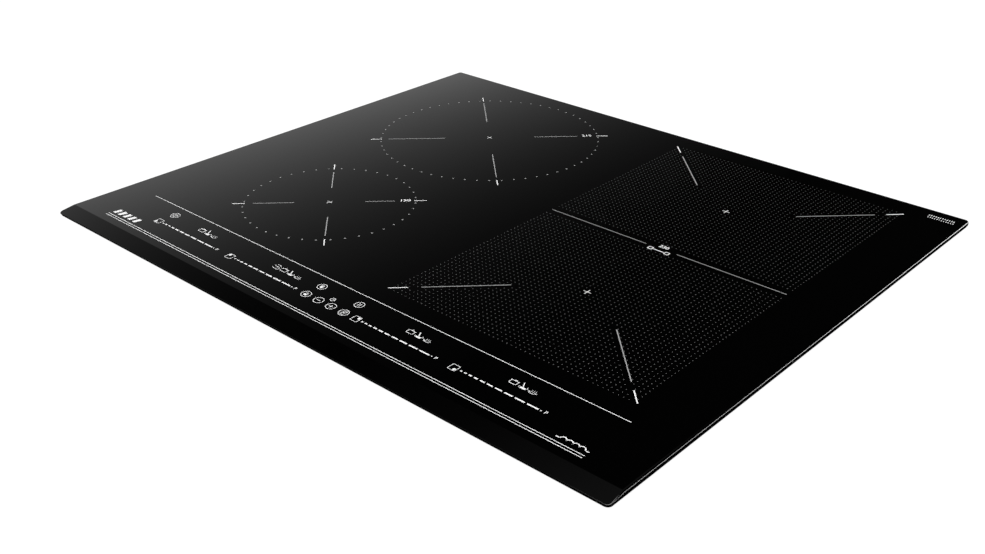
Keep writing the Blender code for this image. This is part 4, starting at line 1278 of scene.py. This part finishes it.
# Sky brightness by elevation in degrees, as shares of its strength: a pale horizon, a dark band that the
# glass mirrors, a faint glow that its front bevel mirrors, and soft light from overhead
SKY = (
    (0, 0.14), (10.5, 0.1355), (14.5, 0.0093), (17, 0.0008),
    (42.5, 0.0008), (48.5, 0.0028), (51.5, 0.0078), (54, 0.0135), (61, 0.0135), (66, 1.0),
)
SKY_STRENGTH = 6.97

# Low light behind the right-back corner, which the right-hand edge mirrors
EDGE_LIGHT_PLACE = (1.65, 1.62, 0.15)
EDGE_LIGHT_AIM = (0.3, 0.0, 0.1)
EDGE_LIGHT_WIDTH = 1.8
EDGE_LIGHT_HEIGHT = 0.22
EDGE_LIGHT_RADIANCE = 16.5

# Card to the left, which the glass mirrors; its radiance holds at the reference height
CARD_X = -0.70
CARD_Y = 0.3
CARD_LOW = GLASS_TOP + 0.17
CARD_HIGH = GLASS_TOP + 0.75
CARD_DEPTH = 3.2
CARD_RADIANCE = 0.54
CARD_FADE = 9.3
CARD_REFERENCE = GLASS_TOP + 0.197


def fading_card():
    """Upright card left of the cooktop; its brightness fades upwards, which shades the glass."""
    middle = (CARD_LOW + CARD_HIGH) / 2
    light = area_light("left_card", (CARD_X, CARD_Y, middle), (0.0, CARD_Y, middle),
                       CARD_DEPTH, CARD_HIGH - CARD_LOW, CARD_RADIANCE)
    light.use_nodes = True
    tree = light.node_tree
    place = tree.nodes.new("ShaderNodeNewGeometry")
    split = tree.nodes.new("ShaderNodeSeparateXYZ")
    tree.links.new(place.outputs["Position"], split.inputs[0])
    below = arithmetic(tree, "SUBTRACT", CARD_REFERENCE, split.outputs["Z"])
    power = arithmetic(tree, "EXPONENT", arithmetic(tree, "MULTIPLY", below, CARD_FADE))
    tree.links.new(power, tree.nodes["Emission"].inputs["Strength"])


def studio_world():
    """Even sky all round, shaded by elevation."""
    world = bpy.data.worlds.new("studio")
    bpy.context.scene.world = world
    world.use_nodes = True
    tree = world.node_tree
    place = tree.nodes.new("ShaderNodeTexCoord")
    split = tree.nodes.new("ShaderNodeSeparateXYZ")
    tree.links.new(place.outputs["Generated"], split.inputs[0])
    stops = [(math.sin(math.radians(elevation)), grey(value)) for elevation, value in SKY]
    background = tree.nodes["Background"]
    background.inputs["Strength"].default_value = SKY_STRENGTH
    tree.links.new(colour_ramp(tree, split.outputs["Z"], stops), background.inputs["Color"])


def lights():
    area_light("edge_light", EDGE_LIGHT_PLACE, EDGE_LIGHT_AIM,
               EDGE_LIGHT_WIDTH, EDGE_LIGHT_HEIGHT, EDGE_LIGHT_RADIANCE)
    fading_card()


def camera():
    data = bpy.data.cameras.new("camera")
    data.lens = CAMERA_LENS
    data.sensor_width = 36.0
    data.clip_start = 0.01
    item = bpy.data.objects.new("camera", data)
    aim = CAMERA_AIM + Vector((0.0, 0.0, GLASS_TOP))
    away = Vector((math.sin(CAMERA_AZIMUTH) * math.cos(CAMERA_ELEVATION),
                   -math.cos(CAMERA_AZIMUTH) * math.cos(CAMERA_ELEVATION),
                   math.sin(CAMERA_ELEVATION)))
    item.location = aim + away * CAMERA_DISTANCE
    item.rotation_euler = (-away).to_track_quat("-Z", "Y").to_euler()
    bpy.context.scene.collection.objects.link(item)
    bpy.context.scene.camera = item


bpy.context.scene.view_settings.view_transform = "Standard"
camera()
studio_world()
lights()
worktop()
dress_nodes()
glass_top()
printed_design()
inner_parts()
